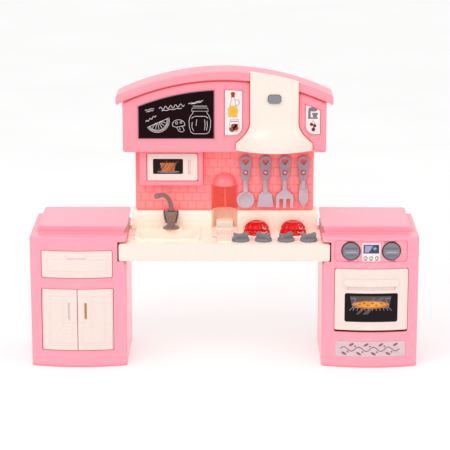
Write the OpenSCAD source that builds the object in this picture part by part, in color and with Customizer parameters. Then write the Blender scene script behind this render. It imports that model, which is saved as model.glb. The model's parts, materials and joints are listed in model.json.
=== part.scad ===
// Toy kitchen: two cabinets, a counter with sink and hob between them, and a
// tiled wall unit with microwave, cooker hood and hanging utensils above it.
// Origin: centre of the footprint on the floor. +X right, -Y front, +Z up.

/* [Cabinets] */
// Width over both cabinets
total_w = 600; // [596:1:610]
// Width of one cabinet
cab_w = 149; // [148:1:150]
// Depth of a cabinet, from the middle of its bowed front to its back
cab_d = 160; // [158:1:162]
// Height of the ledge in front of the raised top
cab_h = 208; // [207:1:209]
// How far the middle of the front stands ahead of its corners
front_bow = 11; // [9:1:12]
// Height of the raised top above the ledge
top_raise = 11; // [10:1:12]
// Thickness of a moulded wall
wall = 3; // [2.8:0.1:3.2]

/* [Counter] */
// Height of the worktop
counter_z = 196; // [195:1:196]
// Height of the front apron
apron_h = 29; // [27:1:30]
// Radius of a burner
burner_r = 21; // [20:0.5:21]
// Radius of a hob knob and of an oven knob
knob_r = 13.2; // [12.5:0.1:13.4]

/* [Wall unit] */
// Height of the tiled panel's lower edge
panel_z = 227; // [226:1:228]
// Height of the upper cabinet's lower edge
upper_z = 326; // [326:1:328]
// Radius of the arched top, to the top of the cornice
arch_r = 389; // [386:1:392]
// Height of the highest point of the arch
arch_top = 453.5; // [452:0.5:455]

/* [Moving fits] */
// Radial clearance of a pin or shaft that turns in a bore
fit = 0.07; // [0.05:0.01:0.09]
// Gap all round a drawer or door in its opening
door_gap = 0.6; // [0.5:0.1:0.8]

/* [Hidden] */
$fn = 48;

pink = [1.0, 0.66, 0.71];
coral = [1.0, 0.47, 0.50];
cream = [0.98, 0.93, 0.88];
grey = [0.50, 0.50, 0.52];
taupe = [0.55, 0.45, 0.44];
lilac = [0.74, 0.69, 0.74];
red = [0.88, 0.03, 0.04];
black = [0.06, 0.03, 0.04];
steel = [0.72, 0.72, 0.74];

// Cabinets
cab_x = (total_w - cab_w) / 2;
half_w = cab_w / 2;
back_y = cab_d / 2;
front_y = -cab_d / 2;
bow_r = (half_w * half_w + front_bow * front_bow) / (2 * front_bow);
bow_cy = front_y + bow_r;
corner_r = 6;
inner_x = total_w / 2 - cab_w;
face_shift = -1.5;
riser_y = -46;
shoulder = 11;
groove_r = 9;
groove_out = 4;
cavity_top = 198;
pin_r = 1.0;
pin_l = 3.4;
pivot_in = 2.3;
knuckle_r = 1.9;
skin = 0.3;
set_back = 3;

// Openings of the left cabinet, as x across the face and z
drawer_hw = 55;
drawer_z0 = 143.4;
drawer_z1 = 187.3;
doors_hw = 56;
doors_z0 = 27;
doors_z1 = 126.5;
drawer_len = 112;
drawer_stroke = 88;
runner_top = drawer_z0 - 0.1;

// Openings of the right cabinet
panel_hw = 56;
panel_z0 = 170;
panel_z1 = 203.5;
panel_depth = 1.4;
oven_hw = 57;
oven_x = -face_shift;
oven_z0 = 57.5;
oven_z1 = 159.5;
oven_pivot_z = 67.5;
oven_pivot_y = -70.8;
oven_knob_x = 31;
oven_knob_z = 187.2;
window_hw = 41;
window_z0 = 74;
window_z1 = 120;
name_z0 = 17.5;
name_z1 = 43;

// Counter
apron_y = -72;
counter_t = 3;
tab_in = 12;
unit_front = 24;
unit_back = 52;
upstand_y = 20;
niche_r = 20.5;
sink_x0 = -134;
sink_x1 = -44;
sink_y0 = -44;
sink_y1 = -1;
sink_d = 20;
hob_x = [50.5, 107.5];
hob_y = -1.5;
burner_h = 18.5;
hob_knob_x = [25.5, 60.5, 95.5, 130.5];
hob_knob_y = -47;
faucet_x = -84;
faucet_y = 5;
plinth_h = 6.5;

// Wall unit
panel_hw_x = 140;
upper_hw = 158;
upper_front = -4;
arch_cz = arch_top - arch_r;
cornice_t = 13;
cornice_hw = 168;
cornice_front = -10;
mw_x0 = -133;
mw_x1 = -34;
mw_z0 = 270;
mw_front = 10;
mw_door_x0 = -122;
mw_door_x1 = -41.5;
mw_door_z0 = 277;
mw_door_z1 = 321.5;
canopy_z = 269;
canopy_r = 18.5;
peg_z = 290.5;
peg_r = 2.1;
peg_x = [33, 64.3, 94.7, 123.7];
hang_r = 3.7;
hang_z = peg_z + peg_r - hang_r + 0.06;
utensil_y = 17;
utensil_t = 3;
hood_x = 77;
hood_hw = 37.2;
hood_front = -13;
button_z = 411.6;
label_t = 0.6;
button_stroke = 2;
spring_y = upper_front + wall + 2.4 + button_stroke + 0.4;
spring_l = 12;
print_depth = 1.0;

// Points of an arc
function arc(cx, cy, r, a0, a1, n) =
    [for (i = [0:n]) [cx + r * cos(a0 + (a1 - a0) * i / n), cy + r * sin(a0 + (a1 - a0) * i / n)]];

// Points of a rectangle with rounded corners
function rrect(x0, y0, x1, y1, r) = concat(
    arc(x1 - r, y0 + r, r, -90, 0, 4),
    arc(x1 - r, y1 - r, r, 0, 90, 4),
    arc(x0 + r, y1 - r, r, 90, 180, 4),
    arc(x0 + r, y0 + r, r, 180, 270, 4));

// Plan of a cabinet, drawn in by t all round
function plan(t) =
    let (h = half_w - t, r = bow_r - t, rc = max(corner_r - t, 1), rb = 2,
         yc = bow_cy - sqrt((r - rc) * (r - rc) - (h - rc) * (h - rc)),
         a = atan2(yc - bow_cy, h - rc))
    concat(
        arc(h - rc, yc, rc, 0, a, 5),
        arc(0, bow_cy, r, a, -180 - a, 22),
        arc(rc - h, yc, rc, -180 - a, -180, 5),
        arc(rb - h, back_y - t - rb, rb, 180, 90, 3),
        arc(h - rb, back_y - t - rb, rb, 90, 0, 3));

// Angle on the bowed front at a distance x from its middle
function bow_a(x) = -90 + asin(x / bow_r);

// Front of the bow at x
function bow_y(x) = bow_cy - sqrt(bow_r * bow_r - x * x);

// Plan of a slice of the bowed front, from depth d0 to depth d1 behind it
function slice(x0, x1, d0, d1) = concat(
    arc(0, bow_cy, bow_r - d0, bow_a(x0), bow_a(x1), 14),
    arc(0, bow_cy, bow_r - d1, bow_a(x1), bow_a(x0), 14));

// A shape drawn in x and z, cut from the bowed front between two depths
module bowed(pts, d0, d1) {
    intersection() {
        linear_extrude(300) polygon(slice(-66, 66, d0, d1));
        upright(pts, front_y - 10, front_y + 20);
    }
}

// Height of the arch at x, drawn in by t
function arch_z(x, t) = arch_cz + sqrt((arch_r - t) * (arch_r - t) - x * x);

// Points along the arch from x0 to x1, drawn in by t
function arch_pts(x0, x1, t, n) =
    [for (i = [0:n]) let (x = x0 + (x1 - x0) * i / n) [x, arch_z(x, t)]];

// A shape drawn in x and z, carried along y
module upright(pts, y0, y1) {
    translate([0, y1, 0]) rotate([90, 0, 0]) linear_extrude(y1 - y0) polygon(pts);
}

module block(x0, x1, y0, y1, z0, z1) {
    translate([x0, y0, z0]) cube([x1 - x0, y1 - y0, z1 - z0]);
}

// Sets a piece back, so that the origin is mid-way between knobs and back
module placed() {
    translate([0, set_back, 0]) children();
}

module rod_y(x, z, r, y0, y1) {
    translate([x, y0, z]) rotate([-90, 0, 0]) cylinder(h = y1 - y0, r = r);
}

module rod_z(x, y, r, z0, z1) {
    translate([x, y, z0]) cylinder(h = z1 - z0, r = r);
}

module rod_x(y, z, r, x0, x1) {
    translate([x0, y, z]) rotate([0, 90, 0]) cylinder(h = x1 - x0, r = r);
}

// Solid through rings of points, all of one length, from the first to the last
module loft(rings) {
    n = len(rings[0]);
    m = len(rings);
    polyhedron(
        points = [for (ring = rings) for (p = ring) p],
        faces = concat(
            [[for (i = [0:n - 1]) i]],
            [for (k = [0:m - 2]) for (i = [0:n - 1])
                [k * n + i, (k + 1) * n + i, (k + 1) * n + (i + 1) % n, k * n + (i + 1) % n]],
            [[for (i = [n - 1:-1:0]) (m - 1) * n + i]]),
        convexity = 8);
}

// ---- cabinets ----

back_screws = [for (x = [-67, 67]) for (z = [14, 184]) [x, z]];
boss_r = 5.2;
screw_r = 1.2;

module cabinet_casing() {
    difference() {
        union() {
            linear_extrude(cab_h) polygon(plan(0));
            translate([0, 0, cab_h - 0.1]) linear_extrude(top_raise + 0.1)
                polygon(rrect(shoulder - half_w, riser_y, half_w, back_y, 5));
        }
        translate([0, 0, -1]) linear_extrude(cavity_top + 1) polygon(plan(wall));
        block(wall - half_w, half_w - wall, 60, back_y + 1, -1, cavity_top);
        block(shoulder + wall - half_w, half_w - 8, riser_y + wall, back_y - wall,
              cavity_top - 1, cab_h + top_raise - wall);
        rod_y(half_w + groove_out, cab_h, groove_r, riser_y, back_y + 1);
        // notch that the counter's end plugs into
        block(half_w - tab_in - 1.6, half_w + 1, front_y - 5, -38,
              counter_z - apron_h + 1.6, counter_z + 3.4);
    }
    // pocket behind the notch
    block(half_w - tab_in - 4.4, half_w - tab_in - 1.6, -68, -35.2,
          counter_z - apron_h - 1.4, counter_z + 6.2);
    block(half_w - tab_in - 4.4, half_w - 1, -38, -35.2, counter_z - apron_h - 1.4, cavity_top + 0.5);
    block(half_w - tab_in - 4.4, half_w - 1, -68, -35.2,
          counter_z - apron_h - 1.4, counter_z - apron_h + 1.6);
    for (p = back_screws) difference() {
        rod_y(p[0], p[1], boss_r, 62, back_y - wall);
        rod_y(p[0], p[1], screw_r + 0.05, 66, back_y);
    }
}

module cabinet_back() {
    difference() {
        union() {
            block(0.3 + wall - half_w, half_w - wall - 0.3, back_y - wall, back_y, 3.4, cavity_top - 0.3);
            for (x = [-36, 0, 36]) block(x - 1, x + 1, back_y - wall - 4, back_y - wall, 24, 174);
        }
        for (p = back_screws) {
            rod_y(p[0], p[1], screw_r + 0.4, back_y - wall - 1, back_y + 1);
            rod_y(p[0], p[1], 3.2, back_y - 1.4, back_y + 1);
        }
    }
}

module cabinet_base() {
    difference() {
        linear_extrude(wall) polygon(plan(wall + 0.3));
        block(-80, 80, back_y - wall - 0.3, back_y + 1, -1, wall + 1);
    }
    for (x = [-44, 0, 44]) block(x - 1, x + 1, -50, 62, wall, wall + 5);
}

// Hinge ears above and below an opening, for a pin at x, y
module hinge_ears(x, y, z0, z1) {
    for (z = [z0 - 5, z1]) block(x - 3.6, x + 3.6, y - 0.8, y + 4, z, z + 5);
}

module hinge_bores(x, y, z0, z1) {
    rod_z(x, y, pin_r + fit, z0 - pin_l - 0.4, z0 + 0.1);
    rod_z(x, y, pin_r + fit, z1 - 0.1, z1 + pin_l + 0.4);
}

function pivot_x(s) = face_shift + s * (doors_hw - door_gap - knuckle_r);
function pivot_y(s) = bow_y(pivot_x(s)) + pivot_in;

module left_cabinet_shell() {
    color(pink) placed() translate([-cab_x, 0, 0]) difference() {
        union() {
            cabinet_casing();
            for (s = [-1, 1]) hinge_ears(pivot_x(s), pivot_y(s), doors_z0, doors_z1);
            for (s = [-1, 1]) block(s > 0 ? 68 : wall - half_w - 0.1, s > 0 ? half_w - wall + 0.1 : -68,
                                    -60, 70, runner_top - 6, runner_top - 3);
        }
        upright(rrect(face_shift - drawer_hw, drawer_z0, face_shift + drawer_hw, drawer_z1, 3), -90, -62);
        upright(rrect(face_shift - doors_hw, doors_z0, face_shift + doors_hw, doors_z1, 1.2), -90, -62);
        for (s = [-1, 1]) hinge_bores(pivot_x(s), pivot_y(s), doors_z0, doors_z1);
    }
}

module left_cabinet_back() {
    color(pink) placed() translate([-cab_x, 0, 0]) cabinet_back();
}

module left_cabinet_base() {
    color(pink) placed() translate([-cab_x, 0, 0]) cabinet_base();
}

module drawer_runner() {
    color(cream) placed() translate([-cab_x, 0, 0]) {
        block(0.3 + wall - half_w, half_w - wall - 0.3, -62, 72, runner_top - 3, runner_top);
        for (s = [-1, 1]) translate([face_shift + s * 54, 0, 0])
            block(-1.2, 1.2, -60, 70, runner_top, runner_top + 12);
        block(-50, 47, 69, 72, runner_top, runner_top + 8);
    }
}

drawer_front_t = 3.2;
drawer_box_hw = 51.5;

module drawer() {
    z0 = drawer_z0 + door_gap;
    z1 = drawer_z1 - door_gap;
    y0 = bow_y(drawer_hw) + 1.5;
    color(cream) placed() translate([-cab_x, 0, 0]) {
        difference() {
            bowed(rrect(face_shift - drawer_hw + door_gap, z0, face_shift + drawer_hw - door_gap, z1, 2.5),
                  skin, skin + drawer_front_t);
            // scoop under the pull lip
            translate([face_shift, bow_y(0), 172]) rotate([0, 90, 0])
                translate([0, 0, -15]) cylinder(h = 30, r = 2.2);
        }
        // pull lip
        bowed(rrect(face_shift - 15, 175.6, face_shift + 15, 183, 2.4), -1.2, 1);
        translate([face_shift, 0, 0]) difference() {
            block(-drawer_box_hw, drawer_box_hw, y0, y0 + drawer_len, z0, z1 - 6);
            block(2 - drawer_box_hw, drawer_box_hw - 2, y0 - 5, y0 + drawer_len - 2, z0 + 2, z1);
        }
    }
}

// A bowed cupboard door, hinged on the side s
module cupboard_door(s) {
    x_in = face_shift + s * 0.5;
    x_out = pivot_x(s);
    z0 = doors_z0 + door_gap;
    z1 = doors_z1 - door_gap;
    py = pivot_y(s);
    grip_x = face_shift + s * 12.7;
    color(cream) placed() translate([-cab_x, 0, 0]) difference() {
        union() {
            translate([0, 0, z0]) linear_extrude(z1 - z0)
                polygon(slice(min(x_in, x_out), max(x_in, x_out), skin, skin + 3));
            rod_z(x_out, py, knuckle_r, z0, z1);
            rod_z(x_out, py, pin_r, z0 - pin_l, z1 + pin_l);
        }
        // finger slot
        upright(rrect(grip_x - 1.8, 77.5, grip_x + 1.8, 104, 1.7), -90, bow_y(grip_x) + 2.3);
    }
}

module left_door() {
    cupboard_door(-1);
}

module right_door() {
    cupboard_door(1);
}

knob_pocket_y = -74.2;
knob_back_y = knob_pocket_y - 0.4;
knob_shaft_r = 3;

// Front of the right cabinet is drawn mirrored, as the left one's twin
module right_cabinet_shell() {
    color(pink) placed() translate([cab_x, 0, 0]) difference() {
        union() {
            mirror([1, 0, 0]) cabinet_casing();
            for (s = [-1, 1]) rod_y(s * oven_knob_x, oven_knob_z, knob_r + 4, knob_pocket_y, -70.6);
            for (s = [-1, 1]) block(oven_x + s * (oven_hw + 2.6) - 2.6, oven_x + s * (oven_hw + 2.6) + 2.6,
                                    oven_pivot_y - 1.5, oven_pivot_y + 3.5, oven_pivot_z - 4, oven_pivot_z + 4);
            for (s = [-1, 1]) block(s > 0 ? 68 : wall - half_w - 0.1, s > 0 ? half_w - wall + 0.1 : -68,
                                    -55, 70, 48, 51);
        }
        // recess of the control panel
        bowed(rrect(-panel_hw, panel_z0, panel_hw, panel_z1, 5), -2, panel_depth);
        for (s = [-1, 1]) {
            rod_y(s * oven_knob_x, oven_knob_z, knob_r + 0.9, -90, knob_pocket_y);
            rod_y(s * oven_knob_x, oven_knob_z, knob_shaft_r + fit, knob_pocket_y - 1, -60);
        }
        upright(rrect(oven_x - oven_hw, oven_z0, oven_x + oven_hw, oven_z1, 3), -90, oven_pivot_y + 5);
        rod_x(oven_pivot_y, oven_pivot_z, pin_r + fit, oven_x - oven_hw - pin_l - 0.4, oven_x + oven_hw + pin_l + 0.4);
        // recess of the name plate
        bowed(rrect(oven_x - 55, name_z0, oven_x + 55, name_z1, 1), -2, print_depth);
    }
}

module right_cabinet_back() {
    color(pink) placed() translate([cab_x, 0, 0]) cabinet_back();
}

module right_cabinet_base() {
    color(pink) placed() translate([cab_x, 0, 0]) cabinet_base();
}

module oven_floor() {
    color(grey) placed() translate([cab_x, 0, 0]) difference() {
        block(0.3 + wall - half_w, half_w - wall - 0.3, -56, 72, 51.2, 53.2);
        for (x = [-54:12:54]) block(x - 2, x + 2, -40, 60, 50, 54);
    }
}

// Oven door, a bowed panel that drops on pins near its lower corners
module oven_door() {
    z0 = oven_z0 + 3;
    z1 = oven_z1 - door_gap;
    hw = oven_hw - door_gap;
    x0 = oven_x - hw;
    x1 = oven_x + hw;
    color(cream) placed() translate([cab_x, 0, 0]) difference() {
        union() {
            bowed(concat(arc(x1 - 2, z0 + 2, 2, -90, 0, 3), arc(x1 - 4, z1 - 4, 4, 0, 90, 5),
                         arc(x0 + 4, z1 - 4, 4, 90, 180, 5), arc(x0 + 2, z0 + 2, 2, 180, 270, 3)),
                  skin, skin + 3.2);
            // grip ridge
            bowed(rrect(oven_x - 42.5, 131, oven_x + 42.5, 142, 4.5), -1.6, 1);
            // pivot blocks
            for (x = [x0, x1 - 5]) block(x, x + 5, bow_y(x1) + 1, oven_pivot_y + 2, oven_pivot_z - 4, oven_pivot_z + 4);
            rod_x(oven_pivot_y, oven_pivot_z, pin_r, x0 - pin_l, x0 + 4);
            rod_x(oven_pivot_y, oven_pivot_z, pin_r, x1 - 4, x1 + pin_l);
        }
        // seat of the window
        bowed(rrect(oven_x - window_hw, window_z0, oven_x + window_hw, window_z1, 3), -2, skin + print_depth);
        // finger recess under the ridge
        bowed(rrect(oven_x - 37, 124.8, oven_x + 37, 131, 1.5), -2, skin + 1.8);
    }
}

module oven_window() {
    color(black) placed() translate([cab_x, 0, 0])
        bowed(rrect(oven_x - window_hw + 0.2, window_z0 + 0.2, oven_x + window_hw - 0.2, window_z1 - 0.2, 3),
              skin + print_depth - label_t, skin + print_depth);
}

// A round knob with a bar grip, turning on its shaft, with its face up
module bar_knob(h, flange, shaft) {
    difference() {
        union() {
            cylinder(h = flange, r = knob_r);
            translate([0, 0, flange]) cylinder(h = h - flange, r = knob_r - 1.6);
        }
        for (s = [-1, 1]) translate([-20, s > 0 ? 4.2 : -24.2, flange + 0.8]) cube([40, 20, h]);
        // saddle in the top of the bar
        translate([0, -6, h + 14]) rotate([-90, 0, 0]) cylinder(h = 12, r = 16.2, $fn = 96);
    }
    translate([0, 0, -shaft]) cylinder(h = shaft + 0.5, r = knob_shaft_r);
}

module oven_knob(x) {
    color(grey) placed() translate([cab_x + x, knob_back_y, oven_knob_z]) rotate([90, 0, 0]) bar_knob(11.5, 5, 5.5);
}

module oven_knob_left() {
    oven_knob(-oven_knob_x);
}

module oven_knob_right() {
    oven_knob(oven_knob_x);
}

module control_label() {
    color(lilac) placed() translate([cab_x, 0, 0])
        bowed(rrect(-14.3, 171.2, 14.3, 200, 1), panel_depth - label_t, panel_depth);
}

module name_label() {
    color(lilac) placed() translate([cab_x, 0, 0])
        bowed(rrect(oven_x - 54.8, name_z0 + 0.2, oven_x + 54.8, name_z1 - 0.2, 1), print_depth - label_t, print_depth);
}

// ---- counter ----

lip_z = counter_z + 3;
apron_z = counter_z - apron_h + 2;
counter_hw = inner_x - 0.4;

module counter_body() {
    // slab with its apron, open below
    difference() {
        union() {
            upright(concat(
                arc(counter_hw + tab_in - 3, apron_z + 3, 3, -90, 0, 3),
                arc(counter_hw + tab_in - 3, counter_z - 3, 3, 0, 90, 3),
                arc(3 - counter_hw - tab_in, counter_z - 3, 3, 90, 180, 3),
                arc(3 - counter_hw - tab_in, apron_z + 3, 3, 180, 270, 3)), apron_y, -40);
            block(-counter_hw, counter_hw, -45, unit_back, apron_z, counter_z);
        }
        block(wall - counter_hw, counter_hw - wall, apron_y + wall, unit_back - wall,
              apron_z - 1, counter_z - counter_t);
    }
    // rims of the sink and of the dispenser
    translate([0, 0, counter_z - 0.5]) linear_extrude(3.5) polygon(rrect(sink_x0 - 6, sink_y0 - 6, sink_x1 + 6, 22, 6));
    translate([0, 0, counter_z - 0.5]) linear_extrude(3.5) polygon(rrect(-19, -30, 19, 22, 3));
    translate([0, 0, counter_z - 0.5]) linear_extrude(3.5) polygon(rrect(-11.5, -58, 11.5, -27, 2));
    // plinth of the faucet
    translate([0, 0, counter_z - 0.5]) linear_extrude(plinth_h + 0.5) polygon(rrect(faucet_x - 17, -9, faucet_x + 17, 22, 6));
    // walls of the sink
    translate([0, 0, counter_z - sink_d - counter_t])
        linear_extrude(sink_d + counter_t - 0.5) polygon(rrect(sink_x0 - 2.6, sink_y0 - 2.6, sink_x1 + 2.6, sink_y1 + 2.6, 10));
    // hob seats
    for (x = hob_x) rod_z(x, hob_y, burner_r + 2, counter_z - 0.5, counter_z + 0.8);
    // upstand
    block(-counter_hw + 4, counter_hw - 4, upstand_y, unit_back, counter_z - 0.5, panel_z);
}

module counter() {
    color(cream) placed() difference() {
        union() {
            counter_body();
            for (x = hob_knob_x) rod_z(x, hob_knob_y, 6, counter_z - 9, counter_z - 1);
        }
        translate([0, 0, counter_z - sink_d])
            linear_extrude(40) polygon(rrect(sink_x0, sink_y0, sink_x1, sink_y1, 8));
        rod_z(-89, -24, 5, counter_z - sink_d - 1.6, counter_z);
        // niche, with the dispenser's block left in it
        difference() {
            rod_z(0, upstand_y, niche_r, lip_z, panel_z + 1);
            block(-13, 13, 6, 60, lip_z - 1, lip_z + 11);
        }
        // hollow of the upstand
        difference() {
            block(wall + 4 - counter_hw, counter_hw - 4 - wall, upstand_y + wall, unit_back + 1,
                  counter_z - counter_t - 1, panel_z - wall);
            rod_z(0, upstand_y, niche_r + wall, counter_z - counter_t - 2, panel_z);
        }
        // drip slots
        for (i = [-3:3]) block(i * 3.6 - 0.7, i * 3.6 + 0.7, -26, 3, lip_z - 1.2, lip_z + 1);
        for (x = hob_knob_x) rod_z(x, hob_knob_y, knob_shaft_r + fit, counter_z - 12, counter_z + 1);
        for (x = hob_x) rod_z(x, hob_y, burner_r - 6, counter_z - 6, counter_z + 2);
        rod_z(faucet_x, faucet_y, 4.05, counter_z - 8, counter_z + 12);
        panel_tabs(0.2);
    }
}

faucet_z = counter_z + plinth_h;
faucet_top = faucet_z + 28;

module faucet_base() {
    color(taupe) placed() difference() {
        union() {
            translate([faucet_x, faucet_y, 0]) rotate_extrude() polygon(concat(
                [[0, faucet_z], [13, faucet_z]],
                arc(11.8, faucet_z + 1.2, 1.2, 0, 90, 3),
                [[6.6, faucet_z + 3.4]],
                [for (i = [1:6]) [6.6 + 3.4 * (i / 6) * (i / 6), faucet_z + 3.4 + 20 * i / 6]],
                [[10, faucet_top - 1.5], [8.5, faucet_top], [0, faucet_top]]));
            rod_z(faucet_x, faucet_y, 4, faucet_z - 7, faucet_z + 1);
        }
        rod_z(faucet_x, faucet_y, 3 + fit, faucet_top - 12, faucet_top + 1);
    }
}

spout_r = 3.6;
spout_bend = 27;
spout_turn = 232;

// Faucet spout: a shank in the base and a neck that bends over towards the sink
module faucet_spout() {
    color(taupe) placed() translate([faucet_x, faucet_y, faucet_top]) {
        translate([0, 0, -11]) cylinder(h = 12, r = 3);
        translate([0, 0, 0.3]) cylinder(h = 2.7, r = 5.2);
        rotate([0, 0, spout_turn]) {
            translate([spout_bend, 0, 3]) rotate([90, 0, 0]) rotate([0, 0, 90])
                rotate_extrude(angle = 90) translate([spout_bend, 0]) circle(r = spout_r);
            translate([spout_bend, 0, 3 + spout_bend]) rotate([0, 90, 0]) cylinder(h = 5, r = spout_r);
            translate([spout_bend + 4, 0, 3 + spout_bend]) rotate([0, 90, 0]) cylinder(h = 5.5, r = spout_r + 0.7);
        }
    }
}

// A burner: a fluted dome in two tiers on a spigot
module burner(x) {
    color(red) placed() translate([x, hob_y, counter_z + 0.8]) {
        difference() {
            union() {
                cylinder(h = 2, r = burner_r);
                translate([0, 0, 1.9]) cylinder(h = 5.1, r1 = burner_r, r2 = burner_r - 2);
                translate([0, 0, 6.9]) cylinder(h = 1.2, r = burner_r - 3.4);
                translate([0, 0, 8]) cylinder(h = burner_h - 8, r1 = burner_r - 1.6, r2 = 10);
            }
            for (i = [0:7]) rotate([0, 0, i * 45 + 22.5]) translate([burner_r + 1, 0, 9])
                cylinder(h = 20, r = 3.2, $fn = 24);
        }
        translate([0, 0, -4]) cylinder(h = 4.5, r = burner_r - 6.1);
    }
}

module burner_left() {
    burner(hob_x[0]);
}

module burner_right() {
    burner(hob_x[1]);
}

knob_turns = [20, -35, 40, 10];

module hob_knob(i) {
    color(grey) placed() translate([hob_knob_x[i], hob_knob_y, counter_z + 0.3])
        rotate([0, 0, knob_turns[i]]) bar_knob(12, 3.4, 8);
}

module hob_knob_1() {
    hob_knob(0);
}

module hob_knob_2() {
    hob_knob(1);
}

module hob_knob_3() {
    hob_knob(2);
}

module hob_knob_4() {
    hob_knob(3);
}

// ---- wall unit ----

module wall_panel() {
    color(coral) placed() panel_tabs(0);
    color(coral) placed() difference() {
        upright(rrect(-panel_hw_x, panel_z + 0.2, panel_hw_x, upper_z - 0.2, 4), unit_front, unit_back);
        // hollow behind the tiles, clear of the niche
        difference() {
            block(wall - panel_hw_x, panel_hw_x - wall, unit_front + wall, unit_back + 1,
                  panel_z + wall, upper_z - wall);
            rod_z(0, unit_front, niche_r + wall, panel_z - 5, canopy_z + wall);
        }
        rod_z(0, unit_front, niche_r, panel_z - 5, canopy_z);
        block(mw_x0 + 3, mw_x1 - 3, unit_front - 1, unit_back + 1, mw_z0 + 3, upper_z - 6);
        for (x = peg_x) rod_y(x, peg_z, peg_r - 0.3, unit_front - 1, unit_front + wall + 1);
    }
}

// Locating tabs of the panel, at its lower edge and at its upper edge
module panel_tabs(grow) {
    for (x = [-104, 104]) block(x - 8 - grow, x + 8 + grow, 44 - grow, 47 + grow, panel_z - 9, panel_z + 4);
    for (x = [-16, 16]) block(x - 6 - grow, x + 6 + grow, 44 - grow, 47 + grow, upper_z - 4, upper_z + 7);
}

module utensil_pegs() {
    color(pink) placed() for (x = peg_x) {
        rod_y(x, peg_z, peg_r, unit_front - 12, unit_front);
        rod_y(x, peg_z, peg_r - 0.4, unit_front - 0.1, unit_front + wall + 1.5);
    }
}

module dispenser_canopy() {
    color(pink) placed() translate([0, unit_front - 0.1, canopy_z]) difference() {
        sphere(r = canopy_r, $fn = 64);
        translate([0, 0, -0.01]) sphere(r = canopy_r - 2.4, $fn = 64);
        translate([-30, -30, -60]) cube([60, 60, 60]);
        translate([-30, 0, -30]) cube([60, 60, 60]);
    }
}

mw_wall = 2.6;
mw_pivot_x = mw_door_x0 + knuckle_r + door_gap;
mw_pivot_y = mw_front + pivot_in;

module microwave_housing() {
    color(pink) placed() difference() {
        union() {
            upright(rrect(mw_x0, mw_z0, mw_x1, upper_z - 0.2, 3), mw_front, unit_front - 0.2);
            block(mw_x0 + 3.3, mw_x1 - 3.3, unit_front - 0.3, unit_back - wall - 0.4, mw_z0 + 3.3, upper_z - 6.3);
        }
        upright(rrect(mw_door_x0, mw_door_z0, mw_door_x1, mw_door_z1, 1.5), mw_front - 1, mw_front + 5);
        block(mw_door_x0 + 4, mw_door_x1 - 4, mw_front - 1, unit_back - wall - 3, mw_door_z0 + 2.6, mw_door_z1 - 5.5);
        rod_z(mw_pivot_x, mw_pivot_y, pin_r + fit, mw_door_z0 - pin_l - 0.4, mw_door_z1 + pin_l + 0.4);
    }
}

module microwave_door() {
    z0 = mw_door_z0 + door_gap;
    z1 = mw_door_z1 - door_gap;
    color(cream) placed() difference() {
        union() {
            upright(concat(
                [[mw_pivot_x, z0]], arc(mw_door_x1 - door_gap - 3, z0 + 3, 3, -90, 0, 4),
                arc(mw_door_x1 - door_gap - 3, z1 - 3, 3, 0, 90, 4), [[mw_pivot_x, z1]]),
                mw_front + 0.4, mw_front + 3.4);
            rod_z(mw_pivot_x, mw_pivot_y, knuckle_r, z0, z1);
            rod_z(mw_pivot_x, mw_pivot_y, pin_r, z0 - pin_l, z1 + pin_l);
        }
        upright(rrect(-112, 288.4, -65, 312.5, 2), mw_front - 2, mw_front + 0.4 + print_depth);
        upright(rrect(-57, 288, -53.2, 311.5, 1.8), mw_front - 2, mw_front + 2.4);
    }
}

module microwave_window() {
    y1 = mw_front + 0.4 + print_depth;
    color(black) placed() upright(rrect(-111.8, 288.6, -65.2, 312.3, 1.9), y1 - label_t, y1);
}

// Outline of the upper cabinet's front under the arch, drawn in by t
function upper_outline(t, top) = concat(
    arc(upper_hw - t - 4, upper_z + t + 4, 4, -90, 0, 4),
    arch_pts(upper_hw - t, t - upper_hw, top, 32),
    arc(t + 4 - upper_hw, upper_z + t + 4, 4, 180, 270, 4));

// Outline of the blackboard, its arched top drawn in by t
function board_outline(t) = concat(
    [[t - 134, 347.2 + t], [-15.7 - t, 347.2 + t]],
    arch_pts(-15.7 - t, t - 134, 29 + t, 10));

function jar_outline(t) = concat(
    [[t, 352.5 + t]], arc(14, 366.5, 14 - t, -90, 0, 6), arch_pts(28 - t, t, 29 + t, 5));

function mixer_outline(t) = concat(
    [[148.5 - t, 354.5 + t], [148.5 - t, arch_z(148.5 - t, 29 + t)]],
    arch_pts(148.5 - t, 125 + t, 29 + t, 5), arc(139, 368.5, 14 - t, 180, 270, 6));

upper_screws = [for (x = [-146, 146]) for (z = [334, 384]) [x, z]];

module upper_cabinet() {
    color(pink) placed() {
        difference() {
            upright(upper_outline(0, cornice_t + 0.2), upper_front, unit_back);
            upright(upper_outline(wall, cornice_t + wall), upper_front + wall, unit_back + 1);
            upright(board_outline(0), upper_front - 1, upper_front + print_depth);
            upright(jar_outline(0), upper_front - 1, upper_front + print_depth);
            upright(mixer_outline(0), upper_front - 1, upper_front + print_depth);
            block(hood_x - 9, hood_x + 9, upper_front - 1, upper_front + wall + 1, button_z - 5, button_z + 5);
            panel_tabs(0.2);
        }
        for (p = upper_screws) difference() {
            rod_y(p[0], p[1], boss_r, 36, unit_back - wall);
            rod_y(p[0], p[1], screw_r + 0.05, 40, unit_back);
            block(-upper_hw - 30, -upper_hw + 1, 0, 60, 300, 400);
            block(upper_hw - 1, upper_hw + 30, 0, 60, 300, 400);
        }
        for (s = [-1, 1]) block(min(s * 150, s * (upper_hw - 2)), max(s * 150, s * (upper_hw - 2)), 36, unit_back - wall, 379, 389);
    }
}

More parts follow.
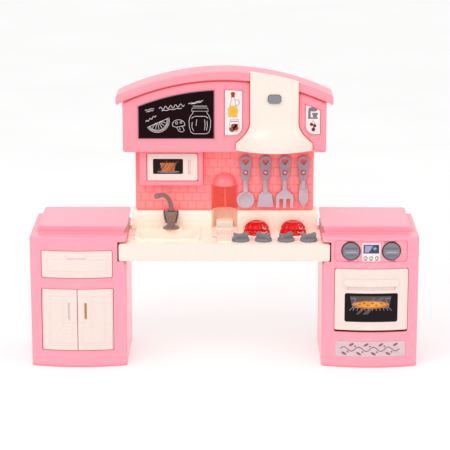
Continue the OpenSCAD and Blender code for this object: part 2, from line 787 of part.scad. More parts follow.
module upper_cabinet_back() {
    color(pink) placed() difference() {
        union() {
            upright(upper_outline(wall + 0.3, cornice_t + wall + 0.3), unit_back - wall, unit_back);
            rod_y(hood_x, button_z, 2.8, spring_y + 3, unit_back - wall);
            rod_y(hood_x, button_z, 5.5, spring_y + spring_l + 0.1, unit_back - wall);
        }
        for (p = upper_screws) {
            rod_y(p[0], p[1], screw_r + 0.4, unit_back - wall - 1, unit_back + 1);
            rod_y(p[0], p[1], 3.2, unit_back - 1.4, unit_back + 1);
        }
    }
}

module cornice() {
    color(pink) placed() difference() {
        cornice_bar();
        // hollow above the cabinet's top, which closes it
        upright(concat(arch_pts(154, -154, wall, 24), arch_pts(-154, 154, cornice_t + 1, 24)),
                upper_front + wall, unit_back - wall);
    }
}

module cornice_bar() {
    upright(concat(
        arch_pts(-cornice_hw + 3, cornice_hw - 3, 0, 40),
        arc(cornice_hw - 3, arch_z(cornice_hw - 3, 0) - 4, 3, 50, 0, 3),
        [[cornice_hw, arch_z(cornice_hw, cornice_t) + 3], [cornice_hw - 3, arch_z(cornice_hw, cornice_t)]],
        arch_pts(cornice_hw - 4, 4 - cornice_hw, cornice_t, 40),
        [[3 - cornice_hw, arch_z(cornice_hw, cornice_t)], [-cornice_hw, arch_z(cornice_hw, cornice_t) + 3]],
        arc(3 - cornice_hw, arch_z(cornice_hw - 3, 0) - 4, 3, 180, 130, 3)), cornice_front, unit_back);
}

hood_low = 330;
hood_lip = 341;
hood_neck = 374;
hood_flare_hw = 59.5;
hood_bulge = 27;
hood_back = upper_front - 0.2;

// Half width and bulge of the hood at a share k of its flare, from lip to neck
function hood_w(k, t) = hood_hw - t + (hood_flare_hw - hood_hw) * pow(1 - k, 2);
function hood_b(k, t) = 4 + (hood_bulge - 4) * pow(1 - k, 1.7) - t;

// One level of the hood, a bowed outline with a straight back
function hood_ring(z, w, b, y_end, t) = concat(
    [for (i = [0:16]) let (u = -1 + i / 8)
        [hood_x + w * u, y_end - b * (1 - u * u), z]],
    [[hood_x + w, hood_back + t, z], [hood_x - w, hood_back + t, z]]);

function hood_rings(t, z0, z1) = concat(
    [hood_ring(z0, hood_flare_hw - t, hood_bulge - t, hood_back - 3 + t / 2, 0)],
    [for (i = [0:8]) let (k = i / 8)
        hood_ring(hood_lip - (t > 0 ? 2 : 0) + (hood_neck - hood_lip) * k, hood_w(k, t), hood_b(k, t),
                  hood_back - 3 + t / 2 - 1.5 * k, 0)],
    [hood_ring(z1, hood_hw - t, 4 - t, hood_back - 4.5 + t / 2, 0)]);

module hood() {
    color(cream) placed() difference() {
        union() {
            loft(hood_rings(0, hood_low, 420));
            // upper part, which hooks over the cornice
            upright(concat(arch_pts(hood_x + hood_hw, hood_x - hood_hw, -1.8, 10),
                           [[hood_x - hood_hw, 412], [hood_x + hood_hw, 412]]), hood_front, hood_back);
        }
        loft(hood_rings(2.4, hood_low - 1, 402));
        upright(concat(arch_pts(hood_x + hood_hw + 1, hood_x - hood_hw - 1, -0.3, 10),
                       [[hood_x - hood_hw - 1, arch_z(hood_x - hood_hw, cornice_t + 8)],
                        [hood_x + hood_hw + 1, arch_z(hood_x + hood_hw, cornice_t + 2)]]), cornice_front - 0.3, 5);
        upright(rrect(hood_x - 10.3, button_z - 7, hood_x + 10.3, button_z + 7, 5), hood_front - 20, 5);
    }
}

// Push button: a cap through the hood and a stem in the upper cabinet
module hood_button() {
    color(grey) placed() {
        upright(rrect(hood_x - 9.9, button_z - 6.6, hood_x + 9.9, button_z + 6.6, 4.7), hood_front - 3.6, hood_front + 6);
        block(hood_x - 8, hood_x + 8, hood_front + 6, upper_front + wall + 2, button_z - 4, button_z + 4);
        block(hood_x - 12, hood_x + 12, upper_front + wall + 0.4, upper_front + wall + 2.4, button_z - 3.6, button_z + 3.6);
    }
}

// Coil behind the button, as a sleeve of the length it has when pressed
module button_spring() {
    color(steel) placed() difference() {
        rod_y(hood_x, button_z, 4, spring_y, spring_y + spring_l);
        rod_y(hood_x, button_z, 3.1, spring_y - 1, spring_y + spring_l + 1);
    }
}

module blackboard() {
    color(black) placed() upright(board_outline(1.2), upper_front + print_depth - label_t, upper_front + print_depth);
}

module jar_label() {
    color(lilac) placed() upright(jar_outline(0.6), upper_front + print_depth - label_t, upper_front + print_depth);
}

module mixer_label() {
    color(lilac) placed() upright(mixer_outline(0.6), upper_front + print_depth - label_t, upper_front + print_depth);
}

// ---- utensils ----

head_z = 306.5;
head_r = 9.5;
grip_z = 277;
stem_hw = 3.4;

// Handle shared by the utensils: a round head, a tapered grip and a stem
module utensil_handle(stem_end) {
    translate([0, utensil_y, 0]) difference() {
        union() {
            rod_y(0, head_z, head_r, 0, utensil_t);
            upright([[-8.4, head_z - 4], [8.4, head_z - 4], [6.6, hang_z - 4], [5, grip_z], [-5, grip_z],
                     [-6.6, hang_z - 4]], 0, utensil_t);
            block(-stem_hw, stem_hw, 0.3, utensil_t - 0.3, stem_end, grip_z + 1);
        }
        rod_y(0, hang_z, hang_r, -1, utensil_t + 1);
        // decorative heart in the head
        for (s = [-1, 1]) rod_y(s * 2.4, head_z + 1.6, 2.9, -1, utensil_t + 1);
        upright([[-4.9, head_z + 0.2], [4.9, head_z + 0.2], [0, head_z - 5.4]], -1, utensil_t + 1);
    }
}

spoon_r = 13.8;
bowl_d = 5.4;

module spoon() {
    color(lilac) placed() translate([peg_x[0], 0, 0]) {
        utensil_handle(257);
        // bowl, a dished lens open to the front
        translate([0, utensil_y + 0.6, 245])
            rotate([-90, 0, 0]) rotate_extrude() polygon(concat(
                [[0, bowl_d]], [for (i = [1:6]) [spoon_r * i / 6, bowl_d * (1 - pow(i / 6, 2)) + 1.8 * pow(i / 6, 2)]],
                [[spoon_r, 0], [spoon_r - 2, 0]],
                [for (i = [5:-1:1]) [(spoon_r - 2) * i / 6, (bowl_d - 2) * (1 - pow(i / 6, 2))]],
                [[0, bowl_d - 2]]));
    }
}

module spatula() {
    color(lilac) placed() translate([peg_x[1], 0, 0]) {
        utensil_handle(256);
        upright([[-4, 259], [4, 259], [10, 254], [13, 233.5], [-13, 233.5], [-10, 254]], utensil_y + 0.4, utensil_y + 2.6);
    }
}

module fork() {
    color(lilac) placed() translate([peg_x[2], 0, 0]) {
        utensil_handle(258);
        upright(concat([[-3.4, 262], [-13.6, 252], [-13.6, 247], [13.6, 247], [13.6, 252], [3.4, 262]]),
                utensil_y + 0.3, utensil_y + 2.7);
        for (x = [-11, 0, 11]) block(x - 2.6, x + 2.6, utensil_y + 0.3, utensil_y + 2.7, 232, 248);
    }
}

module knife() {
    color(lilac) placed() translate([peg_x[3], 0, 0]) {
        utensil_handle(262);
        upright([[-5, 272], [5.5, 272], [8, 250], [7, 242], [0, 233], [-7, 246], [-6.5, 258]],
                utensil_y + 0.6, utensil_y + 2.4);
    }
}

// ---- fasteners ----

module screw(y) {
    rotate([-90, 0, 0]) {
        translate([0, 0, y - 1.4]) difference() {
            cylinder(h = 1.3, r = 2.9, $fn = 32);
            for (a = [0, 90]) rotate([0, 0, a]) translate([-1.8, -0.35, 0.6]) cube([3.6, 0.7, 2]);
        }
        translate([0, 0, y - 9.5]) cylinder(h = 8.3, r = screw_r, $fn = 24);
    }
}

module cover_screws() {
    color(steel) placed() {
        for (c = [-cab_x, cab_x]) for (p = back_screws) translate([c + p[0], 0, p[1]]) screw(back_y);
        for (p = upper_screws) translate([p[0], 0, p[1]]) screw(unit_back);
    }
}

left_cabinet_shell();
left_cabinet_back();
left_cabinet_base();
drawer_runner();
drawer();
left_door();
right_door();
right_cabinet_shell();
right_cabinet_back();
right_cabinet_base();
oven_floor();
oven_door();
oven_window();
oven_knob_left();
oven_knob_right();
control_label();
name_label();
counter();
faucet_base();
faucet_spout();
burner_left();
burner_right();
hob_knob_1();
hob_knob_2();
hob_knob_3();
hob_knob_4();
wall_panel();
utensil_pegs();
dispenser_canopy();
microwave_housing();
microwave_door();
microwave_window();
upper_cabinet();
upper_cabinet_back();
cornice();
hood();
hood_button();
button_spring();
blackboard();
jar_label();
mixer_label();
spoon();
spatula();
fork();
knife();
cover_screws();
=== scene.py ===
# %% [markdown]
# # A toy kitchen
# This lesson dresses a small plastic play kitchen: two cabinets, a counter with a sink and a hob, and an
# arched wall unit. The working model already exists as the frame: every part that moves or fits has its
# true shape and place there. Blender adds what the eye wants: rounded moulded edges, tiles, panel
# mouldings, prints, glossy plastic and soft light. Everything is in metres. +X is right, -Y is towards the
# child and +Z is up.

# %% Load the frame
import json
import math

import bpy
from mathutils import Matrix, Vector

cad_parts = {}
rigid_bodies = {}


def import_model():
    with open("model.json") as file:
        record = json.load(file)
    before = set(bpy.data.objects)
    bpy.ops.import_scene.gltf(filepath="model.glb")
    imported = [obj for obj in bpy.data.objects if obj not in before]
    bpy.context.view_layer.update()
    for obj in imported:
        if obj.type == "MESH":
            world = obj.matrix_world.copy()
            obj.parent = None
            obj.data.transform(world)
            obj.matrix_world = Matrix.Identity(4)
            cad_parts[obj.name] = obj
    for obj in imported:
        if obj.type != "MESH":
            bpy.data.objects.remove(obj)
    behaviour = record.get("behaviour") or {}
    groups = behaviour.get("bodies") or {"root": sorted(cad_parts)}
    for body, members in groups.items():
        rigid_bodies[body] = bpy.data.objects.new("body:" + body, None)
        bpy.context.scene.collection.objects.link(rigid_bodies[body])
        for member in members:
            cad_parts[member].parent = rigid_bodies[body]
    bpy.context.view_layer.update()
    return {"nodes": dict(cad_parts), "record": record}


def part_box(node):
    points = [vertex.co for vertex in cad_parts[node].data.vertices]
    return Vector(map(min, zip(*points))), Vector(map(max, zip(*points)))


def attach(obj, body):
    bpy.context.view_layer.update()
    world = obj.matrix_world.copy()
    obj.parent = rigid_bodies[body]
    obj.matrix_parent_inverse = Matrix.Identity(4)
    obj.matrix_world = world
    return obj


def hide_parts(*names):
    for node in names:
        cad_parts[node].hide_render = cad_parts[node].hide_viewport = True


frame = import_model()
body_of_node = {n: b for b, ns in frame["record"]["behaviour"]["bodies"].items() for n in ns}
slot_of = {part["node"]: part["material_slot"] for part in frame["record"]["subparts"]}
MM = 0.001

# %% [markdown]
# ## Helpers for working by hand
# Blender's operators act on whatever is selected, so each step starts from a clean selection. These helpers
# select one object, enter edit mode with nothing selected, and pick faces or vertices by their place.

# %% Selection helpers
def select_only(obj):
    if bpy.context.object and bpy.context.object.mode != "OBJECT":
        bpy.ops.object.mode_set(mode="OBJECT")
    bpy.ops.object.select_all(action="DESELECT")
    if obj is not None:
        bpy.context.view_layer.objects.active = obj
        obj.select_set(True)


def edit(obj, kind="FACE", action="DESELECT"):
    """Enters edit mode on obj with nothing selected, or with everything."""
    select_only(obj)
    bpy.ops.object.mode_set(mode="EDIT")
    bpy.ops.mesh.select_mode(type=kind)
    bpy.ops.mesh.select_all(action=action)


def pick(obj, test, kind="polygons"):
    """Selects the faces, or the vertices, that pass the test, and stays in edit mode."""
    bpy.ops.object.mode_set(mode="OBJECT")
    for item in getattr(obj.data, kind):
        item.select = test(item)
    bpy.ops.object.mode_set(mode="EDIT")


def stop_edit():
    bpy.ops.object.mode_set(mode="OBJECT")


def named(part):
    return [o.name for o in bpy.context.scene.objects if part in o.name]


select_only(None)


# %% [markdown]
# ## Moulded plastic
# Toys like this are injection moulded in coloured plastic. Up close the surface is almost smooth, with a
# faint orange-peel texture from the steel mould and a slow drift of tone where the melt cooled. Light
# bounces about between the glossy walls, so seams and corners look a deeper tint instead of going grey:
# the Ambient Occlusion node finds the corners, and a painted shade of that tint fills them. Pointiness finds
# the edges, and they are painted a little paler, a painted highlight. A noise texture on object coordinates
# gives the drift, and a finer one drives the bump.

# %% Material helpers
# Noise scales: slow drift of tone, uneven gloss, orange peel, mottle of an ink and grain of a film
DRIFT_SCALE, GLOSS_SCALE, PEEL_SCALE, MOTTLE_SCALE, GRAIN_SCALE = 14, 55, 900, 160, 1400
# Light in a corner, for the painted corner shade, and sharpness of an edge, for the painted edge highlight,
# from no effect to full effect
CORNER_LIGHT, EDGE_POINT, EDGE_GAIN, CORNER_SAMPLES = (0.15, 0.8), (0.52, 0.62), 1.18, 16
BLACK, GREY_MIX, WHITE = [0, 0, 0, 1], [0.5, 0.5, 0.5, 1], [1, 1, 1, 1]


def linear(r, g, b):
    """A colour given as 0 to 255 screen values, as the linear values that shaders want."""
    return [(c / 255 / 12.92) if c <= 10 else ((c / 255 + 0.055) / 1.055) ** 2.4 for c in (r, g, b)] + [1.0]


def new_material(name):
    mat = bpy.data.materials.new(name)
    mat.use_nodes = True
    tree = mat.node_tree
    return mat, tree, tree.nodes["Principled BSDF"]


def place(tree):
    return tree.nodes.new("ShaderNodeTexCoord").outputs["Object"]


def noise(tree, scale, detail=2.0, distortion=0.0):
    tex = tree.nodes.new("ShaderNodeTexNoise")
    tex.inputs["Scale"].default_value = scale
    tex.inputs["Detail"].default_value = detail
    tex.inputs["Distortion"].default_value = distortion
    tree.links.new(place(tree), tex.inputs["Vector"])
    return tex.outputs["Fac"]


def ramp(tree, value, low, high, at=(0.3, 0.7)):
    """Turns a value into a colour between low and high."""
    node = tree.nodes.new("ShaderNodeValToRGB")
    for stop, where, colour in zip(node.color_ramp.elements, at, (low, high)):
        stop.position = where
        stop.color = colour
    tree.links.new(value, node.inputs["Fac"])
    return node.outputs["Color"]


def scaled(colour, k):
    return [min(1.0, c * k) for c in colour[:3]] + [1.0]


def mixed(tree, factor, a, b):
    node = tree.nodes.new("ShaderNodeMix")
    node.data_type = "RGBA"
    for socket, value in ((node.inputs["Factor"], factor), (node.inputs["A"], a), (node.inputs["B"], b)):
        if isinstance(value, bpy.types.NodeSocket):
            tree.links.new(value, socket)
        else:
            socket.default_value = value
    return node.outputs["Result"]


def surface(tree, shader, rough, spread, grain, strength, depth):
    """Uneven gloss and a fine bump, from noises on object coordinates."""
    gloss = ramp(tree, noise(tree, GLOSS_SCALE, 4), [rough - spread] * 3 + [1], [rough + spread] * 3 + [1])
    tree.links.new(gloss, shader.inputs["Roughness"])
    bump = tree.nodes.new("ShaderNodeBump")
    bump.inputs["Strength"].default_value = strength
    bump.inputs["Distance"].default_value = depth
    tree.links.new(noise(tree, grain, 2), bump.inputs["Height"])
    tree.links.new(bump.outputs["Normal"], shader.inputs["Normal"])


def plastic(name, colour, corner_shade, rough=0.28, drift=0.02, peel=0.04, reach=9, gloss=0.5, high=None, glow=0.0):
    """Moulded plastic. The second colour is the painted shade that fills its corners, and reach how far a
    corner counts, in mm.
    high is (colour, z, z): the tone that it reaches between two heights.
    The last argument is painted light: the plastic gives off light of its own colour at that strength,
    though it is no lamp."""
    colour, corner_shade = linear(*colour), linear(*corner_shade)
    mat, tree, shader = new_material(name)
    tone = ramp(tree, noise(tree, DRIFT_SCALE, 3), scaled(colour, 1 - drift), scaled(colour, 1 + drift))
    if high:
        split = tree.nodes.new("ShaderNodeSeparateXYZ")
        tree.links.new(place(tree), split.inputs[0])
        tone = mixed(tree, ramp(tree, split.outputs["Z"], BLACK, WHITE, high[1:]), tone, linear(*high[0]))
    # Painted highlight: the edges that Pointiness finds are painted paler.
    edges = tree.nodes.new("ShaderNodeNewGeometry").outputs["Pointiness"]
    edge_highlight = ramp(tree, edges, BLACK, GREY_MIX, EDGE_POINT)
    tone = mixed(tree, edge_highlight, tone, scaled(colour, EDGE_GAIN))
    # Painted shade: in corners the Ambient Occlusion node mixes the colour toward the second colour.
    corner = tree.nodes.new("ShaderNodeAmbientOcclusion")
    corner.samples = CORNER_SAMPLES
    corner.inputs["Distance"].default_value = reach * MM
    shaded = mixed(tree, ramp(tree, corner.outputs["AO"], BLACK, WHITE, CORNER_LIGHT), corner_shade, tone)
    tree.links.new(shaded, shader.inputs["Base Color"])
    surface(tree, shader, rough, 0.03, PEEL_SCALE, peel, 0.2 * MM)
    shader.inputs["Specular IOR Level"].default_value = gloss
    # Painted light: the plastic gives off light of its own colour, though it is no lamp.
    shader.inputs["Emission Color"].default_value = colour
    shader.inputs["Emission Strength"].default_value = glow
    return mat


# %% Plastics
PINK = plastic("pink_body", (251, 157, 175), (236, 72, 66), rough=0.24)
ROSE = plastic("pink_wall_unit", (250, 146, 160), (238, 66, 58), rough=0.24)
BLUSH = plastic("pink_canopy", (252, 128, 132), (240, 66, 58), rough=0.26)
# Painted light: the tiles glow a little of their own.
CORAL = plastic("coral_tiles", (253, 138, 140), (255, 92, 82), reach=26, glow=0.10)
CREAM = plastic("cream_counter", (234, 222, 211), (250, 196, 160), reach=6)
# Painted light: a lighter copy of the counter's cream, which also glows, for the top of the worktop.
LIT_WORKTOP = plastic("cream_worktop", (248, 234, 219), (252, 210, 178), reach=14, glow=0.11)
IVORY = plastic("cream_doors", (235, 216, 209), (238, 150, 118), reach=1.8, drift=0.01)
GREY = plastic("grey_knobs", (128, 127, 134), (52, 48, 56), rough=0.42, peel=0.1, reach=4)
TAUPE = plastic("taupe_faucet", (138, 114, 112), (92, 66, 64), rough=0.3, reach=4)
LILAC = plastic("lilac_utensils", (196, 180, 190), (120, 88, 108), rough=0.34, reach=2.5,
                high=((158, 140, 154), 0.255, 0.272))
# Painted shade and light: warmer, deeper copies of the coral and the cream for the two niches, which also
# glow.
CORAL_NICHE_SHADE_AND_LIGHT = plastic("coral_niche", (255, 112, 104), (255, 104, 96), reach=12, glow=0.26)
CREAM_NICHE_SHADE_AND_LIGHT = plastic("cream_niche", (252, 208, 176), (255, 186, 150), reach=6, glow=0.24)
# Painted shade in the pockets of the oven knobs, and a painted highlight on their saddles.
POCKET_SHADE = plastic("dark_ring", (70, 62, 70), (36, 30, 36), rough=0.4, reach=3)
KNOB_HIGHLIGHT = plastic("pale_grip", (170, 168, 176), (120, 116, 124), rough=0.35, reach=2)
# Painted shade: the dark red of a gap, for cords laid along gaps.
GAP_SHADE = plastic("seam_glow", (226, 84, 66), (190, 44, 34), rough=0.5, gloss=0.1, reach=2)
print("plastics:", len(bpy.data.materials))

# %% [markdown]
# ## Prints, red burners and steel
# The pictures on the doors, the board and the labels are printed films under a clear lacquer: each ink is a
# thin flat layer, with the slightest mottle. The burners are deep red, so little white light may reflect
# from them. The screws and the spring are bright steel, drawn and turned, so their gloss is uneven along
# fine lines.

# %% Inks and steel
def ink(name, colour, rough=0.3, mottle=0.06, gloss=0.4):
    """A thin colour under lacquer, from a screen colour: a print, save the slot shade and the burner glints,
    which are painted shade and painted highlight.
    """
    colour = linear(*colour)
    mat, tree, shader = new_material(name)
    tone = ramp(tree, noise(tree, MOTTLE_SCALE, 4), scaled(colour, 1 - mottle), scaled(colour, 1 + mottle))
    tree.links.new(tone, shader.inputs["Base Color"])
    surface(tree, shader, rough, 0.04, GRAIN_SCALE, 0.04, 0.05 * MM)
    shader.inputs["Specular IOR Level"].default_value = gloss
    return mat


BOARD = ink("board_film", (24, 5, 9), rough=0.5, gloss=0.06)
GLASS = ink("window_film", (26, 17, 20), rough=0.15, gloss=0.12)
CHALK = ink("chalk_white", (226, 216, 220), rough=0.6, mottle=0.12)
PAPER = ink("label_ground", (236, 222, 220), rough=0.35)
PLATE = ink("name_plate_film", (214, 190, 194), rough=0.3)
MAUVE = ink("mauve_ink", (150, 88, 110))
OUTLINE = ink("outline_ink", (92, 62, 66))
YELLOW = ink("yellow_ink", (240, 176, 30))
BROWN = ink("brown_ink", (150, 58, 30), mottle=0.3)
BERRY = ink("berry_ink", (120, 22, 26), mottle=0.2)
STONE = ink("stone_ink", (120, 112, 118))
WIRE = ink("wire_ink", (158, 154, 160))
SMOKE = ink("smoke_ink", (74, 68, 72), rough=0.2)
CRUST = ink("crust_ink", (196, 104, 34), mottle=0.25)
CHEESE = ink("cheese_ink", (226, 150, 48), mottle=0.3)
NAVY = ink("screen_ink", (58, 62, 92), rough=0.15)
SKY = ink("screen_glow_ink", (150, 158, 190), rough=0.2)
# Painted shade, not a print: the amber of the right door's finger slot in shade.
SLOT_SHADE = ink("slot_glow", (200, 124, 86), rough=0.5)
RED = ink("red_burner", (226, 3, 7), rough=0.1, mottle=0.1, gloss=0.26)
# Painted highlight, not a print: white glints on the burners.
PAINTED_GLINT = ink("burner_glint", (255, 236, 234), rough=0.2)

STEEL, steel_tree, steel_shader = new_material("bright_steel")
steel_tone = ramp(steel_tree, noise(steel_tree, 300, 3), linear(176, 176, 180), linear(204, 204, 208))
steel_tree.links.new(steel_tone, steel_shader.inputs["Base Color"])
steel_shader.inputs["Metallic"].default_value = 1.0
surface(steel_tree, steel_shader, 0.3, 0.08, 700, 0.1, 0.05 * MM)
print("materials:", len(bpy.data.materials))

# %% [markdown]
# ## Camera, floor and light
# The toy stands in a white studio. A long lens far away keeps its lines nearly parallel. The light comes
# from all round, as from a white room, with one large soft lamp above and in front that shapes the edges.
# The floor gives off a little light of its own, as a lit table does, so that shadows on it stay faint.

# %% Camera
def aim(location, pitch, yaw, lens):
    cam = bpy.data.objects.new("camera", bpy.data.cameras.new("camera"))
    bpy.context.scene.collection.objects.link(cam)
    cam.location = location
    cam.rotation_euler = (math.pi / 2 - pitch, 0, yaw)
    cam.data.lens = lens
    cam.data.clip_end = 50
    bpy.context.scene.camera = cam
    return cam


camera = aim((0.0175, -2.9462, 0.9493), 0.246, 0.00568, 154.9)
bpy.context.scene.view_settings.view_transform = "Standard"
print("camera is", round(camera.location.length, 2), "m away")

# %% Floor and lamps
select_only(None)
bpy.ops.mesh.primitive_plane_add(size=30)
floor = bpy.context.object
floor.name = "floor"
floor_mat, floor_tree, floor_shader = new_material("studio_floor")
floor_tone = ramp(floor_tree, noise(floor_tree, 3), scaled(WHITE, 0.52), scaled(WHITE, 0.55))
floor_tree.links.new(floor_tone, floor_shader.inputs["Base Color"])
floor_shader.inputs["Roughness"].default_value = 0.8
floor_shader.inputs["Specular IOR Level"].default_value = 0.1
floor_shader.inputs["Emission Color"].default_value = (1, 0.99, 0.99, 1)
floor_shader.inputs["Emission Strength"].default_value = 0.46
floor.data.materials.append(floor_mat)

room = bpy.data.worlds.new("white_room")
bpy.context.scene.world = room
room.use_nodes = True
room.node_tree.nodes["Background"].inputs["Color"].default_value = (1, 0.995, 0.99, 1)
room.node_tree.nodes["Background"].inputs["Strength"].default_value = 0.92


def lamp(name, location, target, size, power):
    light = bpy.data.lights.new(name, "AREA")
    light.shape = "RECTANGLE"
    light.size, light.size_y = size
    light.energy = power
    obj = bpy.data.objects.new(name, light)
    bpy.context.scene.collection.objects.link(obj)
    obj.location = location
    way = [t - p for t, p in zip(target, location)]
    obj.rotation_euler = Vector(way).to_track_quat("-Z", "Y").to_euler()


lamp("key", (-0.9, -1.3, 1.9), (0, 0, 0.2), (1.4, 1.0), 14)
lamp("fill", (1.4, -1.2, 1.2), (0, 0, 0.2), (1.2, 1.2), 5)

# %% [markdown]
# ## The sizes that pieces share
# Both cabinets have a front that bows out in the middle. Whatever lies on such a front is modelled flat
# first and then bent to the bow. The arch of the wall unit is a wide circle, and the cornice and board
# follow it.

# %% Shared sizes
left_box, right_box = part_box("left_cabinet_shell"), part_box("right_cabinet_shell")
HALF = (left_box[1].x - left_box[0].x) / 2
LEFT_X, RIGHT_X = left_box[0].x + HALF, right_box[0].x + HALF
FRONT = left_box[0].y
BOW = 11 * MM
BOW_R = (HALF ** 2 + BOW ** 2) / (2 * BOW)
LEDGE = left_box[1].z - 11 * MM
ARCH_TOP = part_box("cornice")[1].z
ARCH_R = 389 * MM
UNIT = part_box("upper_cabinet")[0].y
TILE_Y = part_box("wall_panel")[0].y
# Middles of the left cabinet's doors and of the oven door, in mm, a little off the middles of the cabinets
DOORS_X, OVEN_X = LEFT_X / MM - 1.5, RIGHT_X / MM + 1.5


def bow(x, middle):
    """How far the bowed front lies behind its middle at x."""
    return BOW_R - math.sqrt(BOW_R ** 2 - (x - middle) ** 2)


def arch_z(x, inward):
    """Height of the arch at x, a distance inside its outer line."""
    return ARCH_TOP - ARCH_R + math.sqrt((ARCH_R - inward) ** 2 - x ** 2)


print("bow radius", round(BOW_R, 3), "front", round(FRONT, 4), "unit front", round(UNIT, 4))


# %% Finishing a piece
def finished(piece, body, material, stands_for=(), smooth=38, weighted=False):
    """Gives a piece its shading, material and body, with its place in its mesh."""
    select_only(piece)
    bpy.ops.object.transform_apply(location=True, rotation=True, scale=True)
    bpy.ops.object.shade_smooth_by_angle(angle=math.radians(smooth))
    if weighted:
        even = piece.modifiers.new("even_shading", "WEIGHTED_NORMAL")
        even.keep_sharp = True
        bpy.ops.object.modifier_apply(modifier="even_shading")
    piece.data.materials.clear()
    piece.data.materials.append(material)
    if stands_for:
        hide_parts(*stands_for)
    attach(piece, body)
    return piece


# %% [markdown]
# ## Rounded edges on moulded shells
# No moulded edge is sharp: the melt can't fill a sharp corner, and a child shouldn't feel one. The CAD
# shells have the right shape with sharp edges, so each shell is copied, its loose triangles are merged back
# into plain faces, and a Bevel modifier rounds the edges. A weight on each edge says how much: full on the
# outside, less on fine details and none where the steps are smaller than the round. Weighted normals keep
# the large faces flat.

# %% Softened copy of a CAD node
WELD, FLATTEN = 0.004 * MM, math.radians(0.6)
SHARP, ROUND_STEPS = math.radians(32), 3
SHORT_SHARE = 0.3


def softened(node, width, weight, material):
    """A copy of a CAD node with rounded edges, which stands for it. weight gives each edge's share of the
    width, as a number or from the edge's middle."""
    source = frame["nodes"][node]
    piece = bpy.data.objects.new(node + "_moulded", source.data.copy())
    bpy.context.scene.collection.objects.link(piece)
    edit(piece, "VERT", "SELECT")
    bpy.ops.mesh.remove_doubles(threshold=WELD)
    bpy.ops.mesh.dissolve_limited(angle_limit=FLATTEN)
    stop_edit()
    weigh_edges(piece.data, weight if callable(weight) else lambda p: weight, width * SHORT_SHARE)
    round_off = piece.modifiers.new("round_off", "BEVEL")
    round_off.limit_method = "WEIGHT"
    round_off.width = width
    round_off.segments = ROUND_STEPS
    round_off.use_clamp_overlap = False
    round_off.miter_outer = "MITER_ARC"
    bpy.ops.object.modifier_apply(modifier="round_off")
    low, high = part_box(node)
    for v in piece.data.vertices:
        v.co = [min(max(c, lo), hi) for c, lo, hi in zip(v.co, low, high)]
    return finished(piece, body_of_node[node], material, [node], weighted=True)


def weigh_edges(mesh, weight, shortest):
    """Gives each sharp edge its bevel weight."""
    sides = {}
    for f in mesh.polygons:
        for key in f.edge_keys:
            sides.setdefault(key, []).append(f.normal)
    layer = mesh.attributes.new("bevel_weight_edge", "FLOAT", "EDGE")
    for e in mesh.edges:
        normals = sides.get(e.key, [])
        if len(normals) != 2 or normals[0].angle(normals[1], 0) < SHARP:
            continue
        ends = [mesh.vertices[i].co for i in e.vertices]
        if (ends[0] - ends[1]).length > shortest:
            layer.data[e.index].value = weight((ends[0] + ends[1]) / 2)


def paint(piece, material, test):
    """Gives the faces whose middle passes the test one more material."""
    piece.data.materials.append(material)
    for f in piece.data.polygons:
        if test(f.center):
            f.material_index = len(piece.data.materials) - 1


# %% Cabinets
NEAR = 0.5 * MM
LEDGE_IN, LEDGE_BACK = 6 * MM - HALF, 70 * MM
NOTCH_IN, NOTCH_Z = 17 * MM - HALF, 160 * MM
OVEN_SIDE = 57.6 * MM


def cabinet_weight(side, middle):
    """Full on the raised top and the ledge, a third on the front, none by the counter's notch and inside."""
    def weight(p):
        out = (p.x - middle) * side
        if p.z > LEDGE - NEAR:
            ledge_end = p.z < LEDGE + NEAR and p.y > LEDGE_BACK
            return 0.0 if out < LEDGE_IN or ledge_end else 1.0
        if out < NOTCH_IN and p.z > NOTCH_Z:
            return 0.0
        if p.z < MM:
            return 0.5
        if side > 0 and out > OVEN_SIDE:
            return 0.0
        return 0.3 if abs(p.y - FRONT - bow(p.x, middle)) < 0.8 * MM else 0.0
    return weight


softened("left_cabinet_shell", 2.2 * MM, cabinet_weight(-1, LEFT_X), PINK)
softened("right_cabinet_shell", 2.2 * MM, cabinet_weight(1, RIGHT_X), PINK)

# %% Counter
COUNTER_END, APRON_Y, APRON_Z = 149 * MM, -66 * MM, 172 * MM
DECK_Z, RIM_Z, UPSTAND_Y = 193.5 * MM, 197.5 * MM, 21.5 * MM
SINK_X, SINK_Y = (-136 * MM, -42 * MM), (-44 * MM, 4 * MM)
NICHE_R, NICHE_SIDE, NICHE_BACK = 20.7 * MM, 24 * MM, 46 * MM


def counter_weight(p):
    """Rounds the apron, the worktop and the sink, and leaves the niche, the slots and the inside alone."""
    if not NICHE_SIDE <= abs(p.x) <= COUNTER_END:
        return 0.6 if p.y < APRON_Y and p.z < RIM_Z + NEAR else 0.0
    in_sink = SINK_X[0] < p.x < SINK_X[1] and SINK_Y[0] < p.y < SINK_Y[1]
    if p.z > DECK_Z or in_sink:
        return 0.7 if p.z > RIM_Z and p.y < UPSTAND_Y else 0.5
    return 1.0 if p.y < APRON_Y else 0.0


def in_counter_niche(p):
    in_depth = UPSTAND_Y + 2 * MM < p.y < NICHE_BACK
    return abs(p.x) < NICHE_R and in_depth and p.z > RIM_Z + 1.5 * MM


counter = softened("counter", 1.2 * MM, counter_weight, CREAM)
# Painted light: the top of the worktop takes the lighter, glowing cream.
paint(counter, LIT_WORKTOP, lambda p: p.y > APRON_Y - NEAR and p.z > APRON_Z)
# Painted shade and light: the niche in the counter takes the warmer, glowing cream.
paint(counter, CREAM_NICHE_SHADE_AND_LIGHT, in_counter_niche)

# %% Wall unit
UNIT_END, UNIT_INSIDE, UNIT_LOW = 150 * MM, 157 * MM, 330 * MM
CORNICE_END = 163 * MM
OVEN_MIDDLE, OVEN_HALF, OVEN_FACE = -83.5 * MM, 46 * MM, 14 * MM
NICHE_TOP = 270.5 * MM


